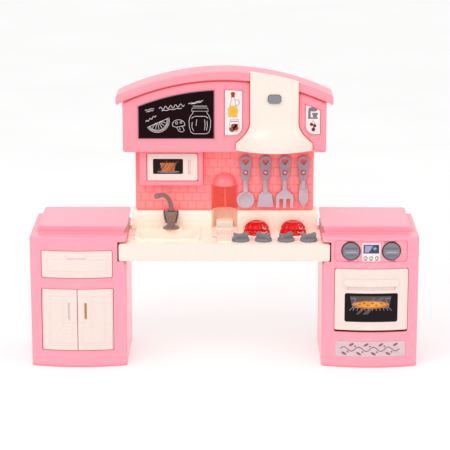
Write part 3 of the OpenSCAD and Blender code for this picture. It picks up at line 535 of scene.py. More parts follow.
def unit_weight(p):
    """Full at the ends and along the bottom, half on the rest of the front, none behind it."""
    if p.y > UNIT + 2.5 * MM and abs(p.x) < UNIT_INSIDE:
        return 0.0
    return 1.0 if abs(p.x) > UNIT_END or p.z < UNIT_LOW else 0.5


def cornice_weight(p):
    return 1.0 if p.y < 0 and abs(p.x) < CORNICE_END else 0.0


def housing_weight(p):
    """Full round the microwave's outside, a little round its opening."""
    return 1.0 if p.y < OVEN_FACE and abs(p.x - OVEN_MIDDLE) > OVEN_HALF else 0.3


def in_wall_niche(p):
    in_round = p.x ** 2 + (p.y - TILE_Y) ** 2 < NICHE_R ** 2
    return in_round and p.y > TILE_Y + NEAR and p.z < NICHE_TOP


softened("upper_cabinet", 1.8 * MM, unit_weight, ROSE)
softened("cornice", 2.4 * MM, cornice_weight, ROSE)
softened("microwave_housing", 1.5 * MM, housing_weight, ROSE)
wall = softened("wall_panel", 1.0 * MM, lambda p: 0.8 if p.y < TILE_Y + MM else 0.0, CORAL)
# Painted shade and light: the niche in the wall takes the deeper, glowing coral.
paint(wall, CORAL_NICHE_SHADE_AND_LIGHT, in_wall_niche)
softened("dispenser_canopy", 0.5 * MM, 1.0, BLUSH)

# %% Doors, knobs, button, utensils and faucet
for node in ("drawer", "left_door", "right_door", "oven_door"):
    softened(node, 0.6 * MM, lambda p: 0.8 if p.y < APRON_Y + 2 * MM else 0.0, IVORY)
softened("microwave_door", 0.6 * MM, lambda p: 0.8 if p.y < OVEN_FACE + NEAR else 0.0, IVORY)
for node in ("oven_knob_left", "oven_knob_right", "hob_knob_1", "hob_knob_2", "hob_knob_3", "hob_knob_4"):
    softened(node, 0.7 * MM, 0.8, GREY)
softened("hood_button", 1.2 * MM, 0.5, GREY)
for node in ("spoon", "spatula", "fork", "knife"):
    softened(node, 0.55 * MM, 0.8, LILAC)
for node in ("faucet_base", "faucet_spout"):
    softened(node, 0.5 * MM, 1.0, TAUPE)
print("softened:", len(named("_moulded")))

# %% [markdown]
# ## Flat shapes and relief
# Panels, films and printed pictures all start as one flat face with the right outline. A filled circle with
# as many corners as the outline has is added, and its corners are moved to their places. Its corners are
# rounded with Bevel, Bisect cuts it into columns so that it can bend, and Inset with a depth raises or
# sinks the middle.

# %% Flat sheet with an outline
def box_points(x0, x1, z0, z1):
    return [(x0, z0), (x1, z0), (x1, z1), (x0, z1)]


def oval_points(x, z, rx, rz, count=24, tilt=0.0):
    cos, sin = math.cos(tilt), math.sin(tilt)
    turns = [2 * math.pi * k / count for k in range(count)]
    level = [(rx * math.cos(a), rz * math.sin(a)) for a in turns]
    return [(x + px * cos - pz * sin, z + px * sin + pz * cos) for px, pz in level]


def face_front(obj):
    """Turns the faces round if the one nearest the viewer looks away."""
    if min(obj.data.polygons, key=lambda f: f.center.y).normal.y > 0:
        edit(obj, "FACE", "SELECT")
        bpy.ops.mesh.flip_normals()
        stop_edit()


def sheet(name, points, y, corner=0.0):
    """A flat sheet in the XZ plane, in mm, that faces -Y, with rounded corners."""
    select_only(None)
    bpy.ops.mesh.primitive_circle_add(vertices=len(points), fill_type="NGON", location=(0, y, 0))
    flat = bpy.context.object
    flat.name = name
    bpy.ops.object.transform_apply(location=True)
    for v, (x, z) in zip(flat.data.vertices, points):
        v.co = (x * MM, y, z * MM)
    edit(flat, "VERT", "SELECT")
    if corner:
        bpy.ops.mesh.bevel(offset=corner * MM, segments=4, affect="VERTICES")
    bpy.ops.mesh.select_mode(type="FACE")
    bpy.ops.mesh.select_all(action="SELECT")
    stop_edit()
    face_front(flat)
    return flat


def raise_steps(flat, steps):
    """Insets the whole sheet again and again: (width, height) in mm, height up towards the viewer."""
    edit(flat, "FACE", "SELECT")
    for width, height in steps:
        bpy.ops.mesh.inset(thickness=width * MM, depth=height * MM, use_even_offset=True)
    stop_edit()


def cut_columns(flat, step):
    """Cuts a sheet into columns about step mm wide, so that it can bend."""
    low, high = (f(v.co.x for v in flat.data.vertices) for f in (min, max))
    cuts = int((high - low) / (step * MM))
    edit(flat, "FACE", "SELECT")
    for k in range(1, cuts + 1):
        bpy.ops.mesh.select_all(action="SELECT")
        bpy.ops.mesh.bisect(plane_co=(low + (high - low) * k / (cuts + 1), 0, 0), plane_no=(1, 0, 0))
    stop_edit()


def give_back(flat, thick):
    """Gives a sheet its thickness behind its face."""
    select_only(flat)
    wall = flat.modifiers.new("thickness", "SOLIDIFY")
    wall.thickness = thick
    wall.offset = -1
    bpy.ops.object.modifier_apply(modifier="thickness")


def bend(piece, middle):
    """Bends a flat piece to the bowed front of the cabinet whose middle is given."""
    for v in piece.data.vertices:
        v.co.y += bow(v.co.x, middle)


def join(pieces, name):
    select_only(pieces[0])
    for p in pieces[1:]:
        p.select_set(True)
    bpy.ops.object.join()
    pieces[0].name = name
    return pieces[0]


def decal(name, shapes, y, body, material, middle=None, thick=0.12):
    """Printed shapes of one ink, on a plane or on a bowed front: a list of outlines in mm."""
    films = []
    for points in shapes:
        film = sheet(name, points, y)
        if middle is not None:
            cut_columns(film, 4)
        give_back(film, thick * MM)
        films.append(film)
    film = join(films, name)
    if middle is not None:
        bend(film, middle)
    return finished(film, body, material)


# %% [markdown]
# ## Drawn lines
# Chalk lines, wires, rims and ridges are round cords that follow a line. A curve with a bevel depth is the
# quick way: its points are the line, and it becomes a mesh before it is placed. Many lines of one colour
# make one piece.

# %% Strokes
def depth_at(y, x, z, middle):
    """Depth of a point of a drawing, on its plane or surface and on the bow."""
    return (y(x, z) if callable(y) else y) + (bow(x * MM, middle) if middle is not None else 0)


def strokes(name, lines, radius, y, body, material, middle=None, flat=1.0):
    """Round cords along lines of (x, z) points in mm, lying at y. A line whose ends meet is closed.
    y may be a function of x and z, where the cords lie on a curved surface."""
    select_only(None)
    curve = bpy.data.curves.new(name, "CURVE")
    curve.dimensions = "3D"
    curve.bevel_depth = radius * MM
    curve.bevel_resolution = 1
    curve.use_fill_caps = True
    for line in lines:
        closed = math.dist(line[0], line[-1]) < 0.01
        points = line[:-1] if closed else line
        spline = curve.splines.new("POLY")
        spline.points.add(len(points) - 1)
        spline.use_cyclic_u = closed
        for p, (x, z) in zip(spline.points, points):
            p.co = (x * MM, depth_at(y, x, z, middle), z * MM, 1)
    cord = bpy.data.objects.new(name, curve)
    bpy.context.scene.collection.objects.link(cord)
    select_only(cord)
    bpy.ops.object.convert(target="MESH")
    if flat != 1.0:
        for v in cord.data.vertices:
            base = depth_at(y, v.co.x / MM, v.co.z / MM, middle)
            v.co.y = base + (v.co.y - base) * flat
    return finished(cord, body, material, smooth=60)


def arc(x, z, r, a0, a1, steps=10, rz=None):
    """Points on an arc between two angles in degrees."""
    turns = [math.radians(a0 + (a1 - a0) * k / steps) for k in range(steps + 1)]
    return [(x + r * math.cos(a), z + (rz or r) * math.sin(a)) for a in turns]


def closed(points):
    return list(points) + [points[0]]


# %% [markdown]
# ## Wall tiles
# The tiles behind the sink and hob are pillow-edged squares in a running pattern, moulded into the panel.
# They could be an array of little blocks, but one sheet is simpler: it is cut into rows, every second row
# is cut at shifted places, the fields that other parts cover are deleted, and each face is inset and raised
# on its own.

# %% Tiles
ROWS = [228.9, 242.3, 255.7, 269.2, 282.9, 296.7, 310.5, 324.2]
TILE_W, TILES_HALF, NICHE_HALF, OVEN_EDGE, SLIVER = 13.4, 138.2, 21.4, -33.2, 2
whole = box_points(-TILES_HALF, TILES_HALF, ROWS[0], ROWS[-1])
tiles = sheet("wall_tiles", whole, TILE_Y + 0.1 * MM, corner=3)
edit(tiles, "FACE", "SELECT")
for z in ROWS[1:-1]:
    bpy.ops.mesh.select_all(action="SELECT")
    bpy.ops.mesh.bisect(plane_co=(0, 0, z * MM), plane_no=(0, 0, 1))


def row_of(f):
    return sum(f.center.z > z * MM for z in ROWS[1:-1])


def cut_rows(x, test):
    pick(tiles, lambda f: test(row_of(f)))
    bpy.ops.mesh.bisect(plane_co=(x * MM, 0, 0), plane_no=(1, 0, 0))


for shift in (0, 1):
    x = -TILES_HALF + TILE_W * (1 - shift / 2)
    while x < TILES_HALF - SLIVER:
        if abs(abs(x) - NICHE_HALF) >= SLIVER and abs(x - OVEN_EDGE) > SLIVER:
            cut_rows(x, lambda row, s=shift: row % 2 == s)
        x += TILE_W
for x in (-NICHE_HALF, NICHE_HALF):
    cut_rows(x, lambda row: row < 4)
cut_rows(OVEN_EDGE, lambda row: row > 2)


def covered(f):
    """True for the fields behind the niche, its canopy and the microwave."""
    x, z = f.center.x / MM, f.center.z / MM
    return (abs(x) < NICHE_HALF and z < ROWS[4]) or (x < OVEN_EDGE and z > ROWS[3])


pick(tiles, covered)
bpy.ops.mesh.delete(type="FACE")
bpy.ops.mesh.select_all(action="SELECT")
bpy.ops.mesh.inset(thickness=0.25 * MM, depth=0, use_individual=True)
bpy.ops.mesh.inset(thickness=0.45 * MM, depth=0.7 * MM, use_individual=True)
stop_edit()
give_back(tiles, 0.3 * MM)
finished(tiles, "kitchen", CORAL, smooth=25)
print("tile faces:", len(tiles.data.polygons))

# %% [markdown]
# ## Raised panels on the drawer and doors
# Cupboard fronts copy wooden joinery: a raised field with a stepped border. Each is a sheet a little under
# the skin of the door, whose insets climb out of it, step back and climb again, bent to the bow of the
# cabinet. Beside each grip is a slot for a finger. Light bounces down the right one, so its floor looks a
# shaded amber; a thin amber sheet at its floor is that painted shade.

# %% Panels
PANEL_STEPS = [(0.7, 0.85), (1.0, 0.0), (0.6, -0.6), (1.7, 0.0), (0.8, 0.5)]
GRIP_STEPS = [(0.8, 1.1), (0.9, 0.4)]
GRIP_Z = (71.5, 110)


def panel(name, points, body, corner=0, steps=PANEL_STEPS):
    field = sheet(name, points, FRONT + 0.45 * MM, corner=corner)
    raise_steps(field, steps)
    cut_columns(field, 6)
    give_back(field, 0.3 * MM)
    bend(field, LEFT_X)
    return finished(field, body, IVORY, smooth=25, weighted=True)


def door_field(side):
    """Outline of a door's raised field, which leaves out the corner of the grip."""
    near, grip, far = (DOORS_X + side * reach for reach in (5, 19.5, 45))
    low, step, high = 35, 68, 117
    return [(near, low), (far, low), (far, high), (grip, high), (grip, step), (near, step)]


panel("drawer_panel", box_points(DOORS_X - 48.5, DOORS_X + 48.5, 150.5, 175.2), "drawer")
panel("left_door_panel", door_field(-1), "left_door")
panel("right_door_panel", door_field(1), "right_door")
for side, near, far in (("left", -11.3, -2.4), ("right", 1.4, 9.3)):
    outline = box_points(DOORS_X + near, DOORS_X + far, *GRIP_Z)
    panel(side + "_door_grip", outline, side + "_door", corner=3, steps=GRIP_STEPS)
# Painted shade: an amber sheet on the floor of the right door's finger slot.
decal("right_door_slot_glow", [box_points(DOORS_X + 11, DOORS_X + 14.4, 78.4, 103.1)], FRONT + 2.1 * MM,
      "right_door", SLOT_SHADE, middle=LEFT_X, thick=0.15)
print("panels:", named("panel"))

# %% [markdown]
# ## Cooker hood
# The hood is one shell: a flared lip, a waist and a flat neck that folds over the cornice. Its cross
# section changes all the way up, so a grid is used as a net: each row of the grid is moved to its height,
# width and bulge. Solidify gives the wall, a Boolean cuts the slot for the button and Bevel softens the
# rims.

# %% Hood
hood_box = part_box("hood")
HOOD_X = (hood_box[0].x + hood_box[1].x) / 2 / MM
LIP_W, NECK_W, LIP_Z, NECK_Z = 59.5, 37.2, 341.0, 374.0
HOOD_BACK, HOOD_FRONT = -1.3, -10.0
HOOD_OVER = -1.8
HOOK_ROWS = (-6.0, -1.5)
BUTTON_Z, SLOT_W, SLOT_H = 411.6, 10.4, 7.1
LEVELS = [330, 333, 337, 341, 343.5, 346.5, 350, 354, 358.5, 363.5, 369, 376, 386, 399, 412]
ACROSS = [-1 + k / 8 for k in range(17)]


def hood_level(z):
    """Half width, depth of the corner and bulge of the hood at a height."""
    k = min(1, max(0, (z - LIP_Z) / (NECK_Z - LIP_Z)))
    up = min(1, max(0, (z - NECK_Z) / 38))
    width = NECK_W + (LIP_W - NECK_W) * (1 - k) ** 2
    corner = -4.2 - 1.5 * k - 3.9 * up
    bulge = 4 + 23 * (1 - k) ** 1.7 - 3.6 * up
    return width, corner, bulge


hood_rows = []
for z in LEVELS:
    w, corner, bulge = hood_level(z)
    front = [(HOOD_X + w * u, corner - bulge * (1 - u * u), z) for u in ACROSS]
    hood_rows.append([(HOOD_X - w, HOOD_BACK, z)] + front + [(HOOD_X + w, HOOD_BACK, z)])
neck = hood_rows[-1]
for share in (0.5, 1.0):
    crest = [arch_z(x * MM, HOOD_OVER * MM) / MM for x, _, _ in neck]
    hood_rows.append([(x, max(y, HOOD_FRONT), z + (top - z) * share) for (x, y, z), top in zip(neck, crest)])
fold = hood_rows[-1]
for back in HOOK_ROWS:
    hood_rows.append([(x, max(y, back), z) for x, y, z in fold])

select_only(None)
bpy.ops.mesh.primitive_grid_add(x_subdivisions=len(neck) - 1, y_subdivisions=len(hood_rows) - 1, size=0.1)
hood = bpy.context.object
hood.name = "hood_shell"
for v, point in zip(hood.data.vertices, [p for row in hood_rows for p in row]):
    v.co = [c * MM for c in point]
edit(hood, "VERT", "SELECT")
bpy.ops.mesh.remove_doubles(threshold=0.01 * MM)
bpy.ops.mesh.normals_make_consistent(inside=False)
stop_edit()
face_front(hood)
give_back(hood, 2.3 * MM)

slot_outline = box_points(HOOD_X - SLOT_W, HOOD_X + SLOT_W, BUTTON_Z - SLOT_H, BUTTON_Z + SLOT_H)
cutter = sheet("slot_cutter", slot_outline, -0.03, corner=5)
give_back(cutter, 0.04)
select_only(hood)
cut = hood.modifiers.new("button_slot", "BOOLEAN")
cut.object = cutter
cut.solver = "EXACT"
bpy.ops.object.modifier_apply(modifier="button_slot")
bpy.data.objects.remove(cutter)
soft = hood.modifiers.new("soft_rims", "BEVEL")
soft.width = 0.8 * MM
soft.segments = 3
soft.angle_limit = math.radians(38)
bpy.ops.object.modifier_apply(modifier="soft_rims")
finished(hood, "kitchen", CREAM, ["hood"], weighted=True)
print("hood faces:", len(hood.data.polygons))

# %% [markdown]
# ## Seams and steps of the wall unit
# A dark red cord, a painted shade, lines the gap where the hood stands off the cabinet, and a small step
# runs under the cornice. Both are cords that follow the outline of the part beside them, half sunk in the
# wall.
# Thin rims frame the board and the two labels in the same way.

# %% Seams, steps and rims
BOARD_LEFT, BOARD_RIGHT, BOARD_LOW, BOARD_TOP_IN = -133.6, -16.1, 347.6, 29.4
LABEL_R, LABEL_TOP_IN = 15, 28
LABEL_SHRINK = (0.955, 0.982)


def trim(name, lines, radius, lift, material, flat=1.0):
    """Cords on the front of the wall unit, their middles lift mm behind it."""
    return strokes(name, lines, radius, UNIT + lift * MM, "kitchen", material, flat=flat)


def arch_line(x0, x1, inward, step=6):
    """Points along the arch of the wall unit, at a distance inside it, in mm."""
    count = max(2, int(abs(x1 - x0) / step))
    return [(x, arch_z(x * MM, inward * MM) / MM) for x in
            [x0 + (x1 - x0) * k / count for k in range(count + 1)]]


def board_outline(margin):
    left, right, low = BOARD_LEFT - margin, BOARD_RIGHT + margin, BOARD_LOW - margin
    return closed([(left, low), (right, low)] + arch_line(right, left, BOARD_TOP_IN - margin))


def shrunk(line, x, z):
    """A closed outline made a little smaller round a point."""
    kx, kz = LABEL_SHRINK
    return closed([(x + (px - x) * kx, z + (pz - z) * kz) for px, pz in line[:-1]])


side_line = [(hood_level(z)[0] + 0.5, z) for z in [330.5] + LEVELS[3:] + [420, 428]]
left_seam = [(HOOD_X - w, z) for w, z in side_line] + [(HOOD_X - NECK_W - 0.5, 438.5)]
right_seam = [(HOOD_X + w, z) for w, z in side_line[:-1]] + [(HOOD_X + NECK_W + 0.5, 425.5)]
# Painted shade: a dark red cord in the gap beside the hood.
trim("hood_seam", [left_seam, right_seam], 0.9, 0.1, GAP_SHADE)
trim("cornice_step", [arch_line(-154, 38.5, 16.2), arch_line(115.5, 154, 16.2)], 1.5, 0.3, ROSE)
trim("board_rim", [board_outline(0)], 0.75, 0.5, STONE)
jar_field = closed(arc(14, 366.5, LABEL_R, -90, 0, 6) + arch_line(29, -1, LABEL_TOP_IN) + [(-1, 351.5)])
mixer_field = closed([(149.5, 353.5)] + arch_line(149.5, 124, LABEL_TOP_IN)
                     + arc(139, 368.5, LABEL_R, 180, 270, 6))
trim("unit_rims", [board_outline(2.2), jar_field, mixer_field], 0.9, 0.25, ROSE)
trim("label_rims", [shrunk(jar_field, 14, 389), shrunk(mixer_field, 137, 379)], 0.5, 0.5, MAUVE, flat=0.7)
print("arch at the middle:", round(arch_z(0, 0), 4))

# %% [markdown]
# ## Burners
# The burners are clear red domes in two fluted tiers, like a coil of flame. A circle is extruded ring by
# ring up its profile, each new ring scaled to its radius, and then the columns are drawn in along a wave
# that makes the flutes. White lines of painted highlight, glints, lie on the right side of each dome.

# %% Burners
DOME_H, DOME_COLUMNS, FLUTES = 18.5, 96, 16
DOME = [(15, -3.5), (15, 0), (20.4, 0), (21, 0.6), (20.7, 2.4), (20.1, 4.4), (19, 6.4), (17.6, 7),
        (17.2, 7.6), (18.2, 8), (19.4, 8.4), (19.2, 9.4), (17.6, 12), (15.4, 14.6), (12.8, 17), (10.6, 18.2),
        (9.4, 18.5), (6.5, 18.5), (6.0, 18.1), (1, 18.1)]
# Lines of the painted highlight glints on each dome, in mm from its middle and foot.
GLINT_PATHS = [[(8, 15.4), (10.5, 13.6), (9, 11.4), (12, 9.6), (15, 9.2)],
          [(6.5, 6), (9, 4.4), (12.5, 3.4), (15.5, 4.8), (17, 3.2)],
          [(11.5, 12.6), (13, 11), (14.4, 11.6)]]


def turned(name, profile, x, y, columns):
    """A turned shape: a circle extruded up a profile of (radius, z) in mm, and closed at both ends."""
    select_only(None)
    (r, z), rest = profile[0], profile[1:]
    bpy.ops.mesh.primitive_circle_add(vertices=columns, radius=r * MM, fill_type="NGON",
                                      location=(x, y, z * MM))
    shape = bpy.context.object
    shape.name = name
    bpy.ops.object.transform_apply(location=True)
    edit(shape, "FACE", "SELECT")
    for r_next, z_next in rest:
        bpy.ops.mesh.extrude_region_move(TRANSFORM_OT_translate={"value": (0, 0, (z_next - z) * MM)})
        k = r_next / r
        bpy.ops.transform.resize(value=(k, k, 1), center_override=(x, y, z_next * MM))
        r, z = r_next, z_next
    bpy.ops.mesh.select_all(action="SELECT")
    bpy.ops.mesh.normals_make_consistent(inside=False)
    stop_edit()
    return shape


def flute(shape, x, y, share, low, high):
    """Draws in the columns between the flutes, from one height to another."""
    for v in shape.data.vertices:
        if low * MM < v.co.z < high * MM:
            across, along = v.co.x - x, v.co.y - y
            wave_in = 0.5 - 0.5 * math.cos(FLUTES * math.atan2(along, across))
            k = 1 - share * wave_in
            v.co.x, v.co.y = x + across * k, y + along * k


def dome_radius(up):
    """Radius of the dome at a height above its foot, a little outside the plastic, in mm."""
    return (21 - 0.22 * up if up < 7.5 else 19.9 - 0.9 * (up - 8)) + 0.1


for side in ("left", "right"):
    low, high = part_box("burner_" + side)
    cx, cy = (low.x + high.x) / 2, (low.y + high.y) / 2
    z0 = high.z / MM - DOME_H
    dome = turned("burner_dome_" + side, [(r, z0 + up) for r, up in DOME], cx, cy, DOME_COLUMNS)
    flute(dome, cx, cy, 0.07, z0 + 1, z0 + 6.8)
    flute(dome, cx, cy, 0.09, z0 + 8.2, z0 + 17.4)
    finished(dome, "kitchen", RED, ["burner_" + side], smooth=50)

    def on_dome(x, z, cx=cx, cy=cy, z0=z0):
        r = dome_radius(z - z0) * MM
        return cy - math.sqrt(max(0, r * r - (x * MM - cx) ** 2))

    # Painted highlight: white glint lines on the dome.
    glint_paths = [[(cx / MM + x, z0 + up) for x, up in line] for line in GLINT_PATHS]
    strokes("burner_flame_" + side, glint_paths, 0.55, on_dome, "kitchen", PAINTED_GLINT)
print("dome faces:", len(dome.data.polygons))

# %% [markdown]
# ## Faucet grips, knob rings and knob highlights
# The goblet of the faucet has a rounded grip on each side. Dark rings of painted shade line the pockets of
# the oven knobs, and a pale line of painted highlight runs across the saddle of each knob.

# %% Small trim
faucet_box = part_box("faucet_base")
FX, FY = (faucet_box[0].x + faucet_box[1].x) / 2 / MM, (faucet_box[0].y + faucet_box[1].y) / 2
GRIP_LINE = [(7.4, 211), (8.8, 216), (10.3, 222), (10.9, 228), (10.3, 232)]
KNOB_X, KNOB_Z = (RIGHT_X / MM - 31, RIGHT_X / MM + 31), 187.2
RING_R, SADDLE_R, SADDLE_DROP, MARK_HALF = 14.3, 16.2, 13.8, 8

grips = [[(FX + s * x, z) for x, z in GRIP_LINE] for s in (-1, 1)]
strokes("faucet_grips", grips, 1.7, FY, "kitchen", TAUPE)
# Painted shade: dark rings in the pockets of the oven knobs.
rings = [closed(arc(x, KNOB_Z, RING_R, 0, 350, 35)) for x in KNOB_X]
strokes("knob_rings", rings, 0.75, FRONT + 1.5 * MM, "kitchen", POCKET_SHADE, middle=RIGHT_X)
for side, x in zip(("left", "right"), KNOB_X):
    knob_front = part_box("oven_knob_" + side)[0].y

    def on_saddle(px, pz, x=x, y=knob_front):
        return y + (math.sqrt(SADDLE_R ** 2 - (px - x) ** 2) - SADDLE_DROP) * MM

    # Painted highlight: a pale line across the saddle of the knob.
    highlight_line = [(x + d, KNOB_Z) for d in range(-MARK_HALF, MARK_HALF + 1, 2)]
    strokes(f"oven_knob_{side}_mark", [highlight_line], 1.0, on_saddle, "oven_knob_" + side, KNOB_HIGHLIGHT,
            flat=0.35)
print("faucet at", round(FX, 1))

# %% [markdown]
# ## Seams round the doors
# Light that reaches the gap round a door has bounced off pink walls many times, so the gap looks dark red.
# A thin dark red cord, a painted shade, lines the edge of each opening, just behind the face. It leaves out
# the side on which a door turns, because the door's edge swings through there.

# %% Opening seams
SEAM_R = 0.62


def rim_line(x0, x1, z0, z1, r, step=5.0):
    """A rounded rectangle with points close enough together to follow a bow."""
    def run(a, b):
        n = max(1, round(abs(b - a) / step))
        return [a + (b - a) * k / n for k in range(1, n)]
    line = arc(x1 - r, z0 + r, r, -90, 0, 4) + arc(x1 - r, z1 - r, r, 0, 90, 4)
    line += [(x, z1) for x in run(x1 - r, x0 + r)] + arc(x0 + r, z1 - r, r, 90, 180, 4)
    line += arc(x0 + r, z0 + r, r, 180, 270, 4) + [(x, z0) for x in run(x0 + r, x1 - r)]
    return closed(line)


# Painted shade: dark red cords in the gaps round openings.
def seam(name, lines, radius, behind, body="kitchen", middle=None, face=FRONT):
    return strokes(name, lines, radius, face + behind * MM, body, GAP_SHADE, middle=middle)


left_rims = [rim_line(DOORS_X - 55, DOORS_X + 55, 143.4, 187.3, 3)]
left_rims += [[(DOORS_X + x, z) for x in range(-54, 55, 6)] for z in (27, 126.5)]
seam("left_opening_seams", left_rims, SEAM_R, 0.55, middle=LEFT_X)
seam("oven_opening_seam", [rim_line(OVEN_X - 57, OVEN_X + 57, 57.6, 159.5, 3)], SEAM_R, 0.55, middle=RIGHT_X)
latch_side = [(-118, 277)] + arc(-43, 278.5, 1.5, -90, 0, 4) + arc(-43, 320, 1.5, 0, 90, 4) + [(-118, 321.5)]
seam("microwave_opening_seam", [latch_side], 0.6, 0.45, face=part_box("microwave_housing")[0].y)
seam("door_meeting_seam", [[(DOORS_X - 0.42, z) for z in (28.5, 125)]], 0.32, 0.9, "left_door", LEFT_X)
print("seams:", named("seam"))

# %% [markdown]
# ## Pictures on the board and the labels
# The board carries chalk drawings of food, and the labels show kitchen things. Such pictures could be one
# image, but drawn as thin shapes each line stays crisp at any size. Where words might stand, a plain
# garland fills in. Each drawing has its own small coordinates, in mm, and is moved to its place on the toy.

# %% Picture tools
def moved(points, at):
    return [(at[0] + x, at[1] + z) for x, z in points]


def picture(y, body, middle=None, at=(0, 0)):
    """The two tools of one picture: one prints shapes and one draws lines, from outlines round the point at.
    front is how far an ink lies in front of the film, in mm."""
    def shapes(name, outlines, material, front=0.0, at=at):
        places = [moved(outline, at) for outline in outlines]
        return decal(name, places, y - front * MM, body, material, middle)

    def lines(name, paths, radius, material, front=0.0, at=at, flat=0.5):
        places = [moved(path, at) for path in paths]
        return strokes(name, places, radius, y - front * MM, body, material, middle, flat)
    return shapes, lines


def wave(start, end, height, turns, steps=40):
    """A wavy line between two points."""
    (x0, z0), (x1, z1) = start, end
    return [(x0 + (x1 - x0) * k / steps, z0 + (z1 - z0) * k / steps
             + height * math.sin(2 * math.pi * turns * k / steps)) for k in range(steps + 1)]


def tipped(points, turn=0.42):
    """Points turned up to the right by an angle in radians."""
    cos, sin = math.cos(turn), math.sin(turn)
    return [(x * cos - z * sin, x * sin + z * cos) for x, z in points]


# %% Chalk drawings
jar = [closed([(-12, 41), (12, 41), (13, 36), (-13, 36)]), [(-11, 44), (11, 44)],
       [(-10, 36), (-11, 33), (-15, 28), (-17, 21), (-16.5, 11), (-14, 3), (-10, 0.5), (10, 0.5), (14, 3),
        (16.2, 11), (16.5, 21), (14.5, 28), (11, 33), (10.5, 36)],
       [(-13, 25), (-8, 28), (8, 28), (13, 25)], [(-12, 19), (-12.5, 11), (-10, 5)],
       [(7, 23), (8, 15), (7, 6)], [(-5, 23), (-6, 13)], [(11, 21), (11.5, 13), (10, 6)]]
fruit = [closed(arc(0, 0, 18.5, 190, 350, 16)), arc(0, 0, 16.6, 192, 348, 16),
         closed(arc(0, 0, 15, 194, 346, 16))]
for turn in range(212, 323, 22):
    cos, sin = math.cos(math.radians(turn)), math.sin(math.radians(turn))
    fruit.append([(r * cos, r * sin) for r in (4.5, 13.4)])
mushroom = [arc(0, 0, 9.6, -12, 200, 14, rz=7.6), [(-9, -2.4), (-4, -4.2), (2, -3.2), (9.4, -1.6)],
            [(-3, -4.2), (0, -10.4), (5.4, -11.8), (8.6, -9.4), (5.8, -2.8)], arc(-3, 2.6, 1.9, 0, 330, 8),
            arc(3.6, 3.4, 1.5, 0, 330, 8), [(1.2, -4.6), (2.2, -8.4)]]
garland = [wave((-101, 395), (-62, 401), 2.4, 5), wave((-97, 391.5), (-66, 396), 0.6, 3),
           wave((-122, 374), (-106, 384), 1.5, 3)]
dashes = [wave((-123, 392), (-109, 395.5), 0.5, 2), wave((-121, 389.5), (-110, 392.5), 0.4, 2),
          wave((-56, 402.5), (-33, 408), 0.5, 2), wave((-52, 402), (-36, 405.5), 0.3, 2)]
_, draw = picture(UNIT + 0.35 * MM, "kitchen")
draw("board_jar", jar, 0.38, CHALK, at=(-38, 355))
draw("board_fruit", [tipped(line) for line in fruit], 0.38, CHALK, at=(-104, 376))
draw("board_mushroom", mushroom, 0.38, CHALK, at=(-71, 370))
draw("board_garland", garland + dashes, 0.42, CHALK)
print("chalk lines:", len(jar + fruit + mushroom + dashes + garland))

# %% Jar and mixer labels
BOTTLE_AT, JAM_AT, MIXER_AT, BERRIES_AT = (13, 382), (15.25, 358), (136.4, 379), (137, 366)
bottle = [(-6.5, 0), (6.5, 0), (7, 12), (3.8, 19), (2.4, 31), (-2.2, 31), (-3.6, 19), (-7, 12)]
oil = [(-5.9, 0.6), (5.9, 0.6), (6.4, 11.8), (3.6, 17.6), (-3.4, 17.6), (-6.4, 11.8)]
jam_glass = [(-5.75, 17), (-7.25, 14), (-7.25, 2.5), (-5.25, 0.6), (5.25, 0.6), (7.25, 2.5), (7.25, 14),
             (5.75, 17)]
jam_lid = [(-6.25, 20.5), (6.25, 20.5), (6.25, 17.5), (-6.25, 17.5)]
jam = [oval_points(-3.65, 4.6, 4.4, 3.6), oval_points(2.15, 6.2, 4.2, 3.8),
       oval_points(-0.65, 10, 4.6, 3.4), oval_points(3.35, 11, 2.6, 2.4)]
mixer = [oval_points(0, 15, 7, 3.2, tilt=-0.12), box_points(-7, -3.2, 2.5, 13.5),
         box_points(-7, 7.8, 0.2, 2.6), [(-1.4, 9.6), (8.4, 9.6), (6.2, 2.8), (0.6, 2.8)]]
berries = [oval_points(-2.4, 4.4, 2.6, 2.6), oval_points(2.6, 2.4, 2.8, 2.8),
           oval_points(0.6, -3.4, 3.0, 3.2)]
glass_lines = [moved(line, BOTTLE_AT) for line in (closed(bottle), arc(5.6, 22.6, 4.4, 130, -110))]
glass_lines += [moved(closed(line), JAM_AT) for line in (jam_lid, jam_glass)]
fill, draw = picture(UNIT + 0.3 * MM, "kitchen")
fill("label_stopper", [box_points(-2.6, 2.6, 31, 35), oval_points(0, 36.6, 3.6, 2.6)], BROWN, at=BOTTLE_AT)
fill("label_oil", [oil], YELLOW, at=BOTTLE_AT)
fill("label_jam", jam, BROWN, at=JAM_AT)
draw("label_bottle_and_jar", glass_lines, 0.3, OUTLINE)
fill("label_mixer", mixer, STONE, at=MIXER_AT)
fill("label_berries", berries, BERRY, at=BERRIES_AT)
stalks = [[(-2.4, 7), (0.4, 10.6), (2.6, 5.4)], [(0.6, 0), (2, 8)]]
draw("label_stalks", stalks, 0.28, OUTLINE, at=BERRIES_AT)
print("label pictures:", named("label_"))

# %% [markdown]
# ## Pictures behind the oven and microwave windows
# Each window is a dark film with a warm dish printed on it, and pale slanting streaks that stand for glass.
# The inks lie on each other in layers, each a little nearer to the viewer than the one below.

# %% Oven window picture
FILM_X = RIGHT_X / MM + 0.5


def slant(x, low, high, width):
    return [(x, low), (x + width, high)]


